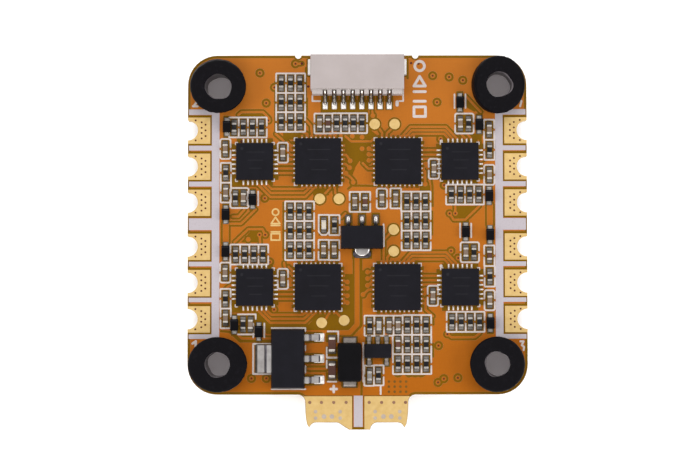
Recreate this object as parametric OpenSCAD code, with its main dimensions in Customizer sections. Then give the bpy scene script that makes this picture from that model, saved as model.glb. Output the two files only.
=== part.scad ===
// Four-in-one electronic speed controller: one circuit board on four rubber grommets
// that drives the four motors of a small aircraft.
// The origin is at the centre of the four grommets, on the plane of their lower faces.
// +Y points to the plug socket, -Y to the battery tab, and +Z to the controller side.
// Channel 1 is at the battery end on the left, 2 at the socket end on the left, and
// 3 and 4 are the same on the right.

/* [Board] */
// Side of the square board
board_w = 37; // [36.8:0.1:37.4]
// Thickness of the board
board_t = 1.6; // [1:0.1:2]
// Radius of the board's four corners
corner_r = 3.25; // [2.5:0.25:3.5]
// Width of the tab that carries the battery pads
tab_w = 11.2; // [11:0.1:11.6]
// Reach of the tab beyond the board's edge
tab_l = 3.8; // [3.6:0.1:4.2]
// Thickness of the gold-plated copper pads
pad_t = 0.1; // [0.05:0.05:0.15]

/* [Grommets] */
// Distance between neighbouring grommet centres
hole_spacing = 30.5; // [30.3:0.1:30.7]
// Diameter of the bore that takes an M3 screw
bore_d = 3; // [2.8:0.1:3.2]
// Diameter of the grommet's two flanges
flange_d = 5.9; // [5.6:0.1:6.2]
// Diameter of the hole in the board, which the grommet's neck fills
neck_d = 4; // [3.8:0.1:4.4]
// Height of the grommet
grommet_h = 6; // [5.5:0.1:7]
// Radius of the flange's rounded rim
rim_r = 0.3; // [0.2:0.1:0.6]

/* [Motor and battery pads] */
// Distance between neighbouring motor pads
motor_pad_pitch = 3.95; // [3.9:0.05:4]
// Length of a motor pad along the board's edge
motor_pad_l = 3; // [2.8:0.1:3.2]
// Depth of a motor pad in from the board's edge
motor_pad_w = 2.35; // [2.2:0.05:2.4]
// Diameter of the plated half hole in each motor pad's outer edge
half_hole_d = 2.2; // [1.8:0.1:2.3]
// Gap between a pad and the edge of the board
pad_inset = 0.1; // [0.05:0.05:0.15]

/* [Plug socket] */
// Number of contacts
contacts = 8; // [4:1:8]
// Distance between contacts
contact_pitch = 1; // [1:0.05:1]
// Height of the housing
socket_h = 2.95; // [2.8:0.05:3.2]
// Depth of the housing's full-height part
socket_l = 3.7; // [3.6:0.05:3.9]

/* [Chips] */
// Side of a motor controller chip
mcu_w = 5; // [4.8:0.1:5]
// Side of a gate driver chip
driver_w = 4; // [3.8:0.1:4]
// Height of both kinds of chip
chip_h = 0.85; // [0.6:0.05:1]
// Side of a power transistor
mosfet_w = 3.3; // [3:0.1:3.3]
// Height of a power transistor
mosfet_h = 0.85; // [0.7:0.05:1]

/* [Hidden] */
$fn = 48;

edge = board_w / 2;
hole = hole_spacing / 2;
board_bottom = (grommet_h - board_t) / 2;
board_top = board_bottom + board_t;
tab_end = edge + tab_l;

// Which side of the board each channel is on: left or right, battery end or socket end.
channels = [[-1, -1], [-1, 1], [1, -1], [1, 1]];
mcu_places = [[-4.3, -6.85], [-4.28, 6.87], [4.35, -6.85], [4.44, 6.87]];
driver_x = 11.18;
channel_y = 6.85;
first_motor_pad_y = 2.4;

// The solder under a chip lifts it by this much, and a terminal foot reaches this far in.
solder_t = 0.05;
foot_in = 0.4;
mcu_toe = 0.22;
driver_toe = 0.38;
chip_pitch = 0.5;
chip_lead_w = 0.28;
chip_lead_h = 0.22;
heat_pad_margin = 1.6;

// The tab sits a little off the middle. Slots milled in its end leave a point at each outer
// corner, and the slot on the positive side runs out in a slope towards the middle.
tab_x = -0.1;
tab_slot_r = 0.78;
tab_slot_x = [2.25, 4.4];
tab_slot_slope = [[2.25, 0], [1.8, 0.6], [1.3, 0.28], [0.85, 0]];
tab_corner_cut = 0.55;
tab_fillet_r = 0.8;
// Half-round notches in the edge at the socket end.
notch_x = [-6.45, 6.35];
notch_r = 0.35;
// How far one shape runs into its neighbour where the two are joined or cut.
overlap = 0.5;
// Bare strip between the two battery pads.
battery_gap = [-0.6, 0.73];
battery_pad_top = -18.68;

// The socket's mouth is just inside the board's edge. Behind the housing is a low ledge
// with a notch for each contact.
socket_w = (contacts - 1) * contact_pitch + 3.1;
socket_front = edge - 0.25;
socket_back = socket_front - socket_l;
socket_ledge_l = 0.45;
socket_ledge_h = 1.9;
socket_ledge_inset = 0.15;
socket_back_wall = 0.7;
socket_side_wall = 1;
socket_wall = 0.5;
socket_keyway = [1.1, 0.7];
contact_w = 0.3;
contact_t = 0.2;
contact_notch_w = 0.5;
contact_foot_end = 13.2;
contact_blade_z = 1.4;
contact_blade_end = socket_front - 0.8;

// Chip resistors and capacitors: length, width, height, end cap, and solder pad width
// and overall length.
size_0402 = [1, 0.5, 0.35, 0.2, 0.66, 1.85];
size_0402_tall = [1, 0.55, 0.5, 0.25, 0.66, 1.85];
size_0603 = [1.6, 0.82, 0.8, 0.35, 0.95, 2.1];
size_1206 = [3.2, 1.6, 1.6, 0.5, 1.8, 4.2];
size_2512 = [6.35, 3.1, 0.6, 1.1, 3.2, 7];
solder_h = 0.1;
grid_step = [1.02, 2.11];

// Every small part stands with its length along Y.
resistor_grids = [[-7.28, 13.34], [-6.3, -0.68], [6.4, 0.37], [6.43, -13.08]];
resistor_fours = [[-11.95, 10.62], [-11.78, -3.27], [11.74, 3.25], [11.76, -10.62]];
row_step = 0.92;
socket_row = [-2.25, 11.07];
single_resistors = [
  [-14.35, 5.65], [-14.37, -8.1], [14.43, 8.13], [14.4, -5.7], [-13.3, 2.9], [-12.45, -10.87],
  [12.15, 11], [12.68, -3.08], [-2.5, -0.07], [1.32, -11.03], [2.26, -16.42], [4.4, -15.2]
];
single_capacitors = [
  [-14.4, 8.27], [-14.35, 3.5], [-14.4, -5.23], [-14.35, -10.2],
  [14.4, 10.35], [14.4, 5.4], [14.37, -3.4], [14.38, -8.28],
  [-8.13, 7.85], [-8.12, -5.92], [8.35, 6.07], [8.2, -7.78],
  [-12.42, 2.92], [-11.64, -10.86], [11.25, 11.02], [11.8, -3.05],
  [-3.68, -2.77], [-2.53, -2.8], [-0.28, 2.46], [0.84, 2.46], [2.67, 2.82], [4.17, 2.84],
  [4.4, -11.03], [4.38, -13.06], [3.43, -11.03], [2.33, -11.03], [1.29, -16.46],
  [-4.12, 11.04], [-3.19, 11.04]
];
small_diodes = [
  [-14.24, 10.68], [-14.35, 1.1], [-14.36, -2.92], [-11.42, 2.72], [-13.4, -10.92],
  [-10.74, -11.66], [11.23, 13.34], [13.32, 10.9], [14.37, 3.12], [14.45, -1.12],
  [11.8, -0.8], [14.44, -10.75]
];
filter_capacitors = [[-2.77, -13.05], [-2.77, -15.85]];
test_pad_places = [
  [1.9, 10.97], [4.08, 10.97], [-4.1, 2.81], [-2, 2.81],
  [3.94, -0.57], [3.95, -2.93], [-3.91, -10.7], [-1.46, -10.45]
];
test_pad_d = 1.15;
small_diode_size = [0.88, 1.25, 0.6];
small_diode_reach = 1;

logic_regulator_at = [0.5, -1.42];
main_regulator_at = [-7.55, -14.6];
power_diode_at = [-0.86, -14.97];
five_lead_chip_at = [2.19, -13.77];
status_light_at = [-3.66, -0.05];
current_shunt_at = [3.6, -16.85];
current_amplifier_at = [-2.6, -16.9];
mosfet_x = [9.6, 13.5];
bulk_capacitor_x = 3.1;
bulk_capacitor_y = [-12.4, -7.3];

// Points of an N-place row with a given step, centred on a place.
function row(at, n, step) = [for (i = [0:n - 1]) at + [(i - (n - 1) / 2) * step, 0]];
function grid(at) = [for (j = [-1:1], p = row(at + [0, j * grid_step.y], 3, grid_step.x)) p];
resistor_places = concat(
  [for (at = resistor_grids, p = grid(at)) p],
  [for (at = resistor_fours, p = row(at, 4, 1)) p],
  [for (i = [0:3]) socket_row + [i * row_step, 0]],
  single_resistors
);

// Puts a part on the controller side, or hangs it under the board.
module above(at, turn = 0) {
  translate([at.x, at.y, board_top]) rotate(turn) children();
}
module below(at, turn = 0) {
  translate([at.x, at.y, board_bottom]) mirror([0, 0, 1]) rotate(turn) children();
}
// A box centred in X and Y that starts at height z.
module block(w, l, h, z = 0) {
  translate([-w / 2, -l / 2, z]) cube([w, l, h]);
}
// The same, with chamfered upper edges all round, as on a moulded package.
module moulded(w, l, h, z = 0, chamfer = 0.1) {
  translate([0, 0, z]) intersection() {
    block(w, l, h);
    rotate([90, 0, 0]) linear_extrude(l, center = true)
      polygon([[-w / 2, 0], [w / 2, 0], [w / 2, h - chamfer], [w / 2 - chamfer, h],
               [chamfer - w / 2, h], [-w / 2, h - chamfer]]);
    rotate([90, 0, 90]) linear_extrude(w, center = true)
      polygon([[-l / 2, 0], [l / 2, 0], [l / 2, h - chamfer], [l / 2 - chamfer, h],
               [chamfer - l / 2, h], [-l / 2, h - chamfer]]);
  }
}

// ---- circuit board and its bare pads ----
module rounded_square(w, r) {
  square([w, w - 2 * r], center = true);
  square([w - 2 * r, w], center = true);
  for (x = [-1, 1], y = [-1, 1]) translate([x, y] * (w / 2 - r)) circle(r);
}
module tab_outline() {
  difference() {
    union() {
      translate([tab_x - tab_w / 2, -tab_end]) square([tab_w, tab_l + overlap]);
      for (side = [-1, 1]) translate([tab_x, 0]) difference() {
        translate([side * (tab_w + tab_fillet_r) / 2, (overlap - tab_fillet_r) / 2 - edge])
          square([tab_fillet_r, tab_fillet_r + overlap], center = true);
        translate([side * (tab_w / 2 + tab_fillet_r), -edge - tab_fillet_r]) circle(tab_fillet_r);
      }
    }
    tab_cuts(0);
  }
}
// What is milled from the tab's end, drawn larger all round by grow.
module tab_cuts(grow) {
  r = tab_slot_r + grow;
  for (side = [-1, 1]) translate([tab_x, -tab_end]) {
    for (x = tab_slot_x) translate([side * x, 0]) circle(r);
    translate([side * (tab_slot_x[0] + tab_slot_x[1]) / 2, 0])
      square([tab_slot_x[1] - tab_slot_x[0], 2 * r], center = true);
    translate([side * tab_w / 2, 0]) rotate(45)
      square(tab_corner_cut + 2 * grow, center = true);
  }
  translate([tab_x, grow - tab_end]) mirror([1, 0]) offset(delta = grow) polygon(tab_slot_slope);
}
module circuit_board() {
  color("darkorange") translate([0, 0, board_bottom]) difference() {
    linear_extrude(board_t) union() {
      rounded_square(board_w, corner_r);
      tab_outline();
    }
    for (x = [-1, 1], y = [-1, 1]) translate([x * hole, y * hole, -1])
      cylinder(d = neck_d, h = board_t + 2);
    for (c = channels, i = [0:2]) translate([c.x * edge, motor_pad_y(c, i), -1])
      cylinder(d = half_hole_d + 2 * pad_t, h = board_t + 2);
    for (x = notch_x) translate([x, edge, -1]) cylinder(r = notch_r, h = board_t + 2);
  }
}
function motor_pad_y(c, i) = c.y * (first_motor_pad_y + i * motor_pad_pitch);

// One motor pad: a plate on each face of the board, joined through the plated half hole.
module motor_pad() {
  plate_x = edge - pad_inset - motor_pad_w;
  difference() {
    union() {
      for (z = [board_bottom - pad_t, board_top])
        translate([plate_x, -motor_pad_l / 2, z]) cube([motor_pad_w, motor_pad_l, pad_t]);
      intersection() {
        translate([edge, 0, board_bottom - pad_t])
          cylinder(d = half_hole_d + 2 * pad_t, h = board_t + 2 * pad_t);
        translate([plate_x, -motor_pad_l / 2, board_bottom - pad_t])
          cube([edge - plate_x, motor_pad_l, board_t + 2 * pad_t]);
      }
    }
    translate([edge, 0, 0]) cylinder(d = half_hole_d, h = grommet_h);
  }
}
module motor_pads(channel) {
  c = channels[channel - 1];
  color("gold") for (i = [0:2]) translate([0, motor_pad_y(c, i), 0])
    mirror([c.x < 0 ? 1 : 0, 0, 0]) motor_pad();
}
module motor_1_pads() { motor_pads(1); }
module motor_2_pads() { motor_pads(2); }
module motor_3_pads() { motor_pads(3); }
module motor_4_pads() { motor_pads(4); }

// The battery pads lie on both faces of the tab, just inside its edge.
module battery_pad(x0, x1) {
  color("gold") for (z = [board_bottom - pad_t, board_top]) translate([0, 0, z])
    linear_extrude(pad_t) difference() {
      translate([x0, pad_inset - tab_end]) square([x1 - x0, tab_end + battery_pad_top - pad_inset]);
      tab_cuts(pad_inset);
    }
}
module battery_pad_positive() { battery_pad(tab_x + pad_inset - tab_w / 2, battery_gap[0]); }
module battery_pad_negative() { battery_pad(battery_gap[1], tab_x + tab_w / 2 - pad_inset); }

module test_pads() {
  color("gold") for (at = test_pad_places) above(at) cylinder(d = test_pad_d, h = pad_t / 2);
}

// ---- grommets ----
// A groove round the neck grips the board, and the bore takes an M3 screw.
module grommet(channel) {
  c = channels[channel - 1];
  rim = [for (a = [0:15:90]) [cos(a), sin(a)] * rim_r];
  r = flange_d / 2 - rim_r;
  color("black") translate([c.x * hole, c.y * hole, 0]) rotate_extrude($fn = 96) polygon(concat(
    [[bore_d / 2, 0]],
    [for (i = [6:-1:0]) [r + rim[i].x, rim_r - rim[i].y]],
    [[flange_d / 2, board_bottom], [neck_d / 2, board_bottom],
     [neck_d / 2, board_top], [flange_d / 2, board_top]],
    [for (p = rim) [r + p.x, grommet_h - rim_r + p.y]],
    [[bore_d / 2, grommet_h]]
  ));
}
module grommet_1() { grommet(1); }
module grommet_2() { grommet(2); }
module grommet_3() { grommet(3); }
module grommet_4() { grommet(4); }

// ---- plug socket ----
// A contact: a foot on the board, a riser in its notch, and a blade that runs into the cavity.
module socket_contact_shapes() {
  riser_y = socket_back - socket_ledge_l;
  for (at = row([0, 0], contacts, contact_pitch)) translate([at.x - contact_w / 2, 0, board_top]) {
    translate([0, contact_foot_end, 0])
      cube([contact_w, riser_y - contact_foot_end + contact_t, contact_t]);
    translate([0, riser_y, 0]) cube([contact_w, contact_t, contact_blade_z + contact_t]);
    translate([0, riser_y, contact_blade_z])
      cube([contact_w, contact_blade_end - riser_y, contact_t]);
  }
}
module socket_housing() {
  ledge_x = socket_w / 2 - socket_ledge_inset;
  cavity_x = socket_w / 2 - socket_side_wall;
  color("gainsboro") difference() {
    translate([0, 0, board_top]) {
      translate([-socket_w / 2, socket_back, 0]) cube([socket_w, socket_l, socket_h]);
      translate([-ledge_x, socket_back - socket_ledge_l, 0])
        cube([2 * ledge_x, socket_ledge_l + overlap, socket_ledge_h]);
    }
    for (at = row([0, 0], contacts, contact_pitch))
      translate([at.x - contact_notch_w / 2, socket_back - socket_ledge_l - overlap, 0])
        cube([contact_notch_w, socket_ledge_l + overlap, grommet_h]);
    // The cavity that the plug slides into, open towards +Y, with a keyway on each side.
    translate([-cavity_x, socket_back + socket_back_wall, board_top + socket_wall])
      cube([2 * cavity_x, socket_l, socket_h - 2 * socket_wall]);
    for (side = [-1, 1])
      translate([side * cavity_x - socket_keyway.x / 2, socket_back + 2 * socket_back_wall,
                 board_top + (socket_h - socket_keyway.y) / 2])
        cube([socket_keyway.x, socket_l, socket_keyway.y]);
    socket_contact_shapes();
  }
}
module socket_contacts() {
  color("silver") socket_contact_shapes();
}
module socket_solder_tabs() {
  tab = [0.35, 1.7, 0.8];
  edge_gap = 0.5;
  color("silver") for (side = [-1, 1])
    translate([side * (socket_w + tab.x) / 2, edge - edge_gap - tab.y / 2, board_top])
      block(tab.x, tab.y, tab.z);
}

// ---- flat square chips ----
module chip(at, w) {
  dot_inset = 0.6;
  dot_r = 0.2;
  dot_depth = 0.03;
  color([0.15, 0.14, 0.17]) above(at) difference() {
    moulded(w, w, chip_h - solder_t, solder_t, 0.04);
    translate([dot_inset - w / 2, w / 2 - dot_inset, chip_h - dot_depth]) cylinder(r = dot_r, h = 1);
  }
}
// The terminals along the four sides, and the heat pad under the middle.
module chip_terminals(at, w, per_side, toe) {
  above(at) {
    for (side = [0:90:270], p = row([0, w / 2 - foot_in], per_side, chip_pitch)) rotate(side)
      translate([p.x - chip_lead_w / 2, p.y, 0]) {
        cube([chip_lead_w, foot_in + toe, solder_t]);
        translate([0, foot_in, 0]) cube([chip_lead_w, toe, chip_lead_h]);
      }
    block(w - heat_pad_margin, w - heat_pad_margin, solder_t);
  }
}
module motor_controller(channel) {
  chip(mcu_places[channel - 1], mcu_w);
}
module motor_controller_1() { motor_controller(1); }
module motor_controller_2() { motor_controller(2); }
module motor_controller_3() { motor_controller(3); }
module motor_controller_4() { motor_controller(4); }
module motor_controller_terminals() {
  color("lightgray") for (at = mcu_places) chip_terminals(at, mcu_w, 8, mcu_toe);
}
module gate_driver(channel) {
  c = channels[channel - 1];
  chip([c.x * driver_x, c.y * channel_y], driver_w);
}
module gate_driver_1() { gate_driver(1); }
module gate_driver_2() { gate_driver(2); }
module gate_driver_3() { gate_driver(3); }
module gate_driver_4() { gate_driver(4); }
module gate_driver_terminals() {
  color("lightgray") for (c = channels)
    chip_terminals([c.x * driver_x, c.y * channel_y], driver_w, 6, driver_toe);
}

// ---- packages with leads ----
// A gull-wing lead that leaves a body at the given height and steps down to the board.
// It starts at the body's face, y = 0, and runs along +Y.
module gull_lead(w, reach, exit_z, t = 0.2) {
  shoulder = 0.25;
  bend = shoulder - t / 2;
  translate([-w / 2, 0, exit_z]) cube([w, shoulder, t]);
  translate([-w / 2, bend, 0]) cube([w, t, exit_z + t]);
  translate([-w / 2, bend, 0]) cube([w, reach - bend, t]);
}
// Main regulator: three leads to the right and a wide tab to the left.
main_regulator_size = [3.65, 6.45, 1.6];
module main_regulator_body() {
  size = main_regulator_size;
  color([0.1, 0.1, 0.12]) above(main_regulator_at)
    moulded(size.x, size.y, size.z, 0.05, 0.25);
}
module main_regulator_leads() {
  size = main_regulator_size;
  lead_pitch = 2.3;
  color("silver") above(main_regulator_at) {
    for (i = [-1:1]) translate([size.x / 2, i * lead_pitch, 0]) rotate(-90)
      gull_lead(0.75, 1.7, 0.7, 0.25);
    translate([-size.x / 2, 0, 0]) rotate(90) gull_lead(3.1, 1.6, 0.7, 0.25);
  }
}
// Logic regulator: three short leads on one side and a heat tab on the other.
logic_regulator_size = [4.6, 2.55, 1.5];
module logic_regulator_body() {
  size = logic_regulator_size;
  color([0.12, 0.12, 0.14]) above(logic_regulator_at)
    moulded(size.x, size.y, size.z, 0, 0.15);
}
module logic_regulator_leads() {
  size = logic_regulator_size;
  lead = [0.48, 1.2, 0.4];
  heat_tab = [1.75, 0.85, 0.4];
  color("silver") above(logic_regulator_at) {
    for (i = [-1:1]) translate([i * 1.5, (size.y + lead.y) / 2, 0]) block(lead.x, lead.y, lead.z);
    translate([0, -(size.y + heat_tab.y) / 2, 0]) block(heat_tab.x, heat_tab.y, heat_tab.z);
  }
}
// Power diode: a bent strap at each end.
power_diode_size = [2.62, 4.25, 2.2];
module power_diode_body() {
  size = power_diode_size;
  color([0.08, 0.08, 0.1]) above(power_diode_at) moulded(size.x, size.y, size.z - 0.15, 0.15, 0.25);
}
module power_diode_terminals() {
  strap_w = 1.35;
  strap_t = 0.15;
  shelf_l = 0.45;
  shelf_z = 1;
  foot_l = 1;
  body_end = power_diode_size.y / 2;
  color("silver") above(power_diode_at) for (side = [0, 180]) rotate(side)
    translate([-strap_w / 2, body_end, 0]) {
      translate([0, 0, shelf_z]) cube([strap_w, shelf_l, strap_t]);
      translate([0, shelf_l - strap_t, 0]) cube([strap_w, strap_t, shelf_z + strap_t]);
      translate([0, -foot_l, 0]) cube([strap_w, foot_l + shelf_l, strap_t]);
    }
}
// A five-lead package: three leads on one side and two on the other.
five_lead_size = [2.95, 1.55, 1.1];
module five_lead_body() {
  moulded(five_lead_size.x, five_lead_size.y, five_lead_size.z - 0.1, 0.1, 0.12);
}
module five_lead_leads() {
  for (x = [-0.95, 0, 0.95]) translate([x, five_lead_size.y / 2, 0]) gull_lead(0.4, 0.9, 0.45, 0.15);
  for (x = [-0.95, 0.95]) rotate(180) translate([x, five_lead_size.y / 2, 0])
    gull_lead(0.4, 0.75, 0.45, 0.15);
}
module five_lead_chip_body() {
  color([0.12, 0.12, 0.14]) above(five_lead_chip_at) five_lead_body();
}
module five_lead_chip_leads() {
  color("silver") above(five_lead_chip_at) five_lead_leads();
}
module current_amplifier_body() {
  color([0.12, 0.12, 0.14]) below(current_amplifier_at, 90) five_lead_body();
}
module current_amplifier_leads() {
  color("silver") below(current_amplifier_at, 90) five_lead_leads();
}
module small_diode_bodies() {
  size = small_diode_size;
  color([0.15, 0.15, 0.17]) for (at = small_diodes) above(at) moulded(size.x, size.y, size.z, 0, 0.06);
}
module small_diode_leads() {
  foot_l = small_diode_reach - small_diode_size.y / 2;
  color("silver") for (at = small_diodes, side = [-1, 1])
    above(at) translate([0, side * (small_diode_reach - foot_l / 2), 0]) block(0.34, foot_l, 0.14);
}

// ---- two-terminal chips, long along Y ----
module chip_part_body(size) {
  block(size[1], size[0] - 2 * size[3], size[2]);
}
module chip_part_terminals(size) {
  pad_l = size[5] / 2 - size[0] / 2 + size[3];
  for (side = [-1, 1]) {
    translate([0, side * (size[0] - size[3]) / 2, 0]) block(size[1], size[3], size[2]);
    translate([0, side * (size[5] - pad_l) / 2, 0]) block(size[4], pad_l, solder_h);
  }
}
module resistor_bodies() {
  color([0.12, 0.12, 0.13]) for (at = resistor_places) above(at) chip_part_body(size_0402);
}
module resistor_terminals() {
  color("silver") for (at = resistor_places) above(at) chip_part_terminals(size_0402);
}
module capacitor_bodies() {
  color("rosybrown") for (at = single_capacitors) above(at) chip_part_body(size_0402_tall);
}
module capacitor_terminals() {
  color("silver") for (at = single_capacitors) above(at) chip_part_terminals(size_0402_tall);
}
module filter_capacitor_bodies() {
  color("saddlebrown") for (at = filter_capacitors) above(at) chip_part_body(size_0603);
}
module filter_capacitor_terminals() {
  color("silver") for (at = filter_capacitors) above(at) chip_part_terminals(size_0603);
}
module status_light_body() {
  color("ivory") above(status_light_at) chip_part_body(size_0402_tall);
}
module status_light_terminals() {
  color("silver") above(status_light_at) chip_part_terminals(size_0402_tall);
}

// ---- underside: power transistors, bulk capacitors and current sensing ----
// Two power transistors behind each motor pad, one for each half of the bridge.
function mosfet_places(c) = [for (x = mosfet_x, i = [0:2]) [c.x * x, motor_pad_y(c, i)]];
module mosfets(channel) {
  color([0.13, 0.13, 0.15]) for (at = mosfet_places(channels[channel - 1])) below(at)
    moulded(mosfet_w - 0.3, mosfet_w - 0.2, mosfet_h, 0, 0.05);
}
module mosfets_1() { mosfets(1); }
module mosfets_2() { mosfets(2); }
module mosfets_3() { mosfets(3); }
module mosfets_4() { mosfets(4); }
module mosfet_terminals() {
  lead_pitch = 0.65;
  lead = [0.15, 0.4, 0.25];
  color("silver") for (c = channels, at = mosfet_places(c), side = [-1, 1], y = [-1.5:1:1.5])
    below(at + [side * (mosfet_w - lead.x) / 2, y * lead_pitch]) block(lead.x, lead.y, lead.z);
}
function bulk_capacitor_places() =
  [for (y = bulk_capacitor_y, p = row([0, y], 4, bulk_capacitor_x)) p];
module bulk_capacitor_bodies() {
  color("saddlebrown") for (at = bulk_capacitor_places()) below(at) chip_part_body(size_1206);
}
module bulk_capacitor_terminals() {
  color("silver") for (at = bulk_capacitor_places()) below(at) chip_part_terminals(size_1206);
}
module current_shunt_body() {
  color([0.2, 0.2, 0.22]) below(current_shunt_at, 90) chip_part_body(size_2512);
}
module current_shunt_terminals() {
  color("silver") below(current_shunt_at, 90) chip_part_terminals(size_2512);
}

circuit_board();
test_pads();
battery_pad_positive();
battery_pad_negative();
motor_1_pads();
motor_2_pads();
motor_3_pads();
motor_4_pads();
grommet_1();
grommet_2();
grommet_3();
grommet_4();
socket_housing();
socket_contacts();
socket_solder_tabs();
motor_controller_1();
motor_controller_2();
motor_controller_3();
motor_controller_4();
motor_controller_terminals();
gate_driver_1();
gate_driver_2();
gate_driver_3();
gate_driver_4();
gate_driver_terminals();
main_regulator_body();
main_regulator_leads();
logic_regulator_body();
logic_regulator_leads();
power_diode_body();
power_diode_terminals();
five_lead_chip_body();
five_lead_chip_leads();
status_light_body();
status_light_terminals();
small_diode_bodies();
small_diode_leads();
resistor_bodies();
resistor_terminals();
capacitor_bodies();
capacitor_terminals();
filter_capacitor_bodies();
filter_capacitor_terminals();
mosfets_1();
mosfets_2();
mosfets_3();
mosfets_4();
mosfet_terminals();
bulk_capacitor_bodies();
bulk_capacitor_terminals();
current_shunt_body();
current_shunt_terminals();
current_amplifier_body();
current_amplifier_leads();
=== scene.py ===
# Looks of the four-in-one speed controller board, built around its CAD parts.
# Lengths are in millimetres up to the point where a mesh is made, and in metres after it.
# Places are (x, y) from the middle of the board, seen from the controller side.
import math
import bpy
from mathutils import Euler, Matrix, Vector, noise
from mathutils.geometry import delaunay_2d_cdt


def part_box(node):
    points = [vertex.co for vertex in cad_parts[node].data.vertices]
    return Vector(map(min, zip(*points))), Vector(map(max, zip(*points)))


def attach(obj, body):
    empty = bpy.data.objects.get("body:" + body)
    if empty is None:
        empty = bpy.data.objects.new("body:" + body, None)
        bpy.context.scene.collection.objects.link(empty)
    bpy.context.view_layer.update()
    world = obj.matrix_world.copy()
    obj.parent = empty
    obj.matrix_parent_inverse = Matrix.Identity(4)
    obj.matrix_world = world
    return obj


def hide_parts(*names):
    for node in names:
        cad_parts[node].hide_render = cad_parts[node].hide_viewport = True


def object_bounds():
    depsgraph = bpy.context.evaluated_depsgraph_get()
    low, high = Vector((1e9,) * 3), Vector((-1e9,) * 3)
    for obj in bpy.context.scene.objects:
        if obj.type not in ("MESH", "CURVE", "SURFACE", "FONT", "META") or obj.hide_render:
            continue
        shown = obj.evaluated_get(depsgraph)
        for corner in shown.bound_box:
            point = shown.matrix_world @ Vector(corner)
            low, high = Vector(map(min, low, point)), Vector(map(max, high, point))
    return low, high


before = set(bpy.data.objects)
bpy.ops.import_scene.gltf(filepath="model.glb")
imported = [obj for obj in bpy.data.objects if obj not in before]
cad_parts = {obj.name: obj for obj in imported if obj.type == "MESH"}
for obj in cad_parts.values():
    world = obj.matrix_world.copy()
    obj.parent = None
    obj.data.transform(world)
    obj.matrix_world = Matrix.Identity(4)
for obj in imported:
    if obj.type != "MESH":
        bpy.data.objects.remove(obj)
cad_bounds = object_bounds()
MM = 0.001


# ---- places taken from the CAD parts ----
class Box:
    """A box in millimetres."""

    def __init__(self, low, high):
        self.low, self.high = low, high
        self.x, self.y = (low[0] + high[0]) / 2, (low[1] + high[1]) / 2
        self.w, self.l, self.h = (high[i] - low[i] for i in range(3))


def node_box(node):
    low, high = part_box(node)
    return Box([v / MM for v in low], [v / MM for v in high])


def solids(node):
    """One box for each separate solid of a CAD node, sorted from left to right."""
    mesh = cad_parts[node].data
    points = [tuple(round(c / MM, 4) for c in v.co) for v in mesh.vertices]
    leader = {p: p for p in points}

    def find(p):
        while leader[p] != p:
            leader[p] = leader[leader[p]]
            p = leader[p]
        return p

    for edge in mesh.edges:
        a, b = (find(points[i]) for i in edge.vertices)
        leader[a] = b
    groups = {}
    for p in leader:
        groups.setdefault(find(p), []).append(p)
    boxes = [Box([min(c) for c in zip(*g)], [max(c) for c in zip(*g)]) for g in groups.values()]
    return sorted(boxes, key=lambda b: (round(b.x, 1), round(b.y, 1)))


board = node_box("circuit_board")
TOP, BOTTOM = board.high[2], board.low[2]
EDGE = board.w / 2
TAB_END = board.low[1]
HOLE = node_box("grommet_4").x
MCUS = [node_box(f"motor_controller_{i}") for i in range(1, 5)]
DRIVERS = [node_box(f"gate_driver_{i}") for i in range(1, 5)]
SOCKET = node_box("socket_housing")
CONTACTS = solids("socket_contacts")
RESISTORS = solids("resistor_bodies")
CAPACITORS = solids("capacitor_bodies")
LIGHT = node_box("status_light_body")
DIODES = solids("small_diode_bodies")
FILTERS = solids("filter_capacitor_bodies")
TEST_PADS = solids("test_pads")
MOTOR_PADS = [b for i in range(1, 5) for b in solids(f"motor_{i}_pads")]
MOSFETS = [b for i in range(1, 5) for b in solids(f"mosfets_{i}")]
BULK = solids("bulk_capacitor_bodies")
BATTERY_PADS = {-1: node_box("battery_pad_positive"), 1: node_box("battery_pad_negative")}
TOP_TERMINALS = ("resistor_terminals", "capacitor_terminals", "status_light_terminals",
                 "filter_capacitor_terminals", "small_diode_leads", "main_regulator_leads",
                 "logic_regulator_leads", "power_diode_terminals", "five_lead_chip_leads")
UNDER_TERMINALS = ("mosfet_terminals", "bulk_capacitor_terminals", "current_shunt_terminals",
                   "current_amplifier_leads")


# ---- outlines in the plane ----
def arc(x, y, r, start, end, steps):
    return [(x + r * math.cos(math.radians(start + (end - start) * i / steps)),
             y + r * math.sin(math.radians(start + (end - start) * i / steps)))
            for i in range(steps + 1)]


def disc(x, y, r, steps=20):
    return arc(x, y, r, 0, 360 - 360 / steps, steps - 1)


def rect(x0, y0, x1, y1, r=0.0, steps=4):
    if r <= 0:
        return [(x0, y0), (x1, y0), (x1, y1), (x0, y1)]
    return (arc(x1 - r, y0 + r, r, -90, 0, steps) + arc(x1 - r, y1 - r, r, 0, 90, steps)
            + arc(x0 + r, y1 - r, r, 90, 180, steps) + arc(x0 + r, y0 + r, r, 180, 270, steps))


def centred(x, y, w, l, r=0.0, steps=4):
    return rect(x - w / 2, y - l / 2, x + w / 2, y + l / 2, r, steps)


def stroke(points, width, steps=5):
    """Loops that together cover a line of some width with round ends and corners."""
    loops = []
    for (x0, y0), (x1, y1) in zip(points, points[1:]):
        turn = math.degrees(math.atan2(y1 - y0, x1 - x0))
        loops.append(arc(x1, y1, width / 2, turn - 90, turn + 90, steps)
                     + arc(x0, y0, width / 2, turn + 90, turn + 270, steps))
    return loops


def strokes(lines):
    """Loops that cover lines given as (width, points)."""
    return [loop for width, points in lines for loop in stroke(points, width, 4)]


def brackets(x0, y0, x1, y1, gap, chamfer):
    """Two lines round a rectangle's lower and upper halves, gap short of its middle."""
    c, middle = chamfer, (y0 + y1) / 2
    return [[(x0, middle + s * gap), (x0, y - s * c), (x0 + c, y), (x1 - c, y), (x1, y - s * c),
             (x1, middle + s * gap)] for y, s in ((y0, -1), (y1, 1))]


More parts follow.
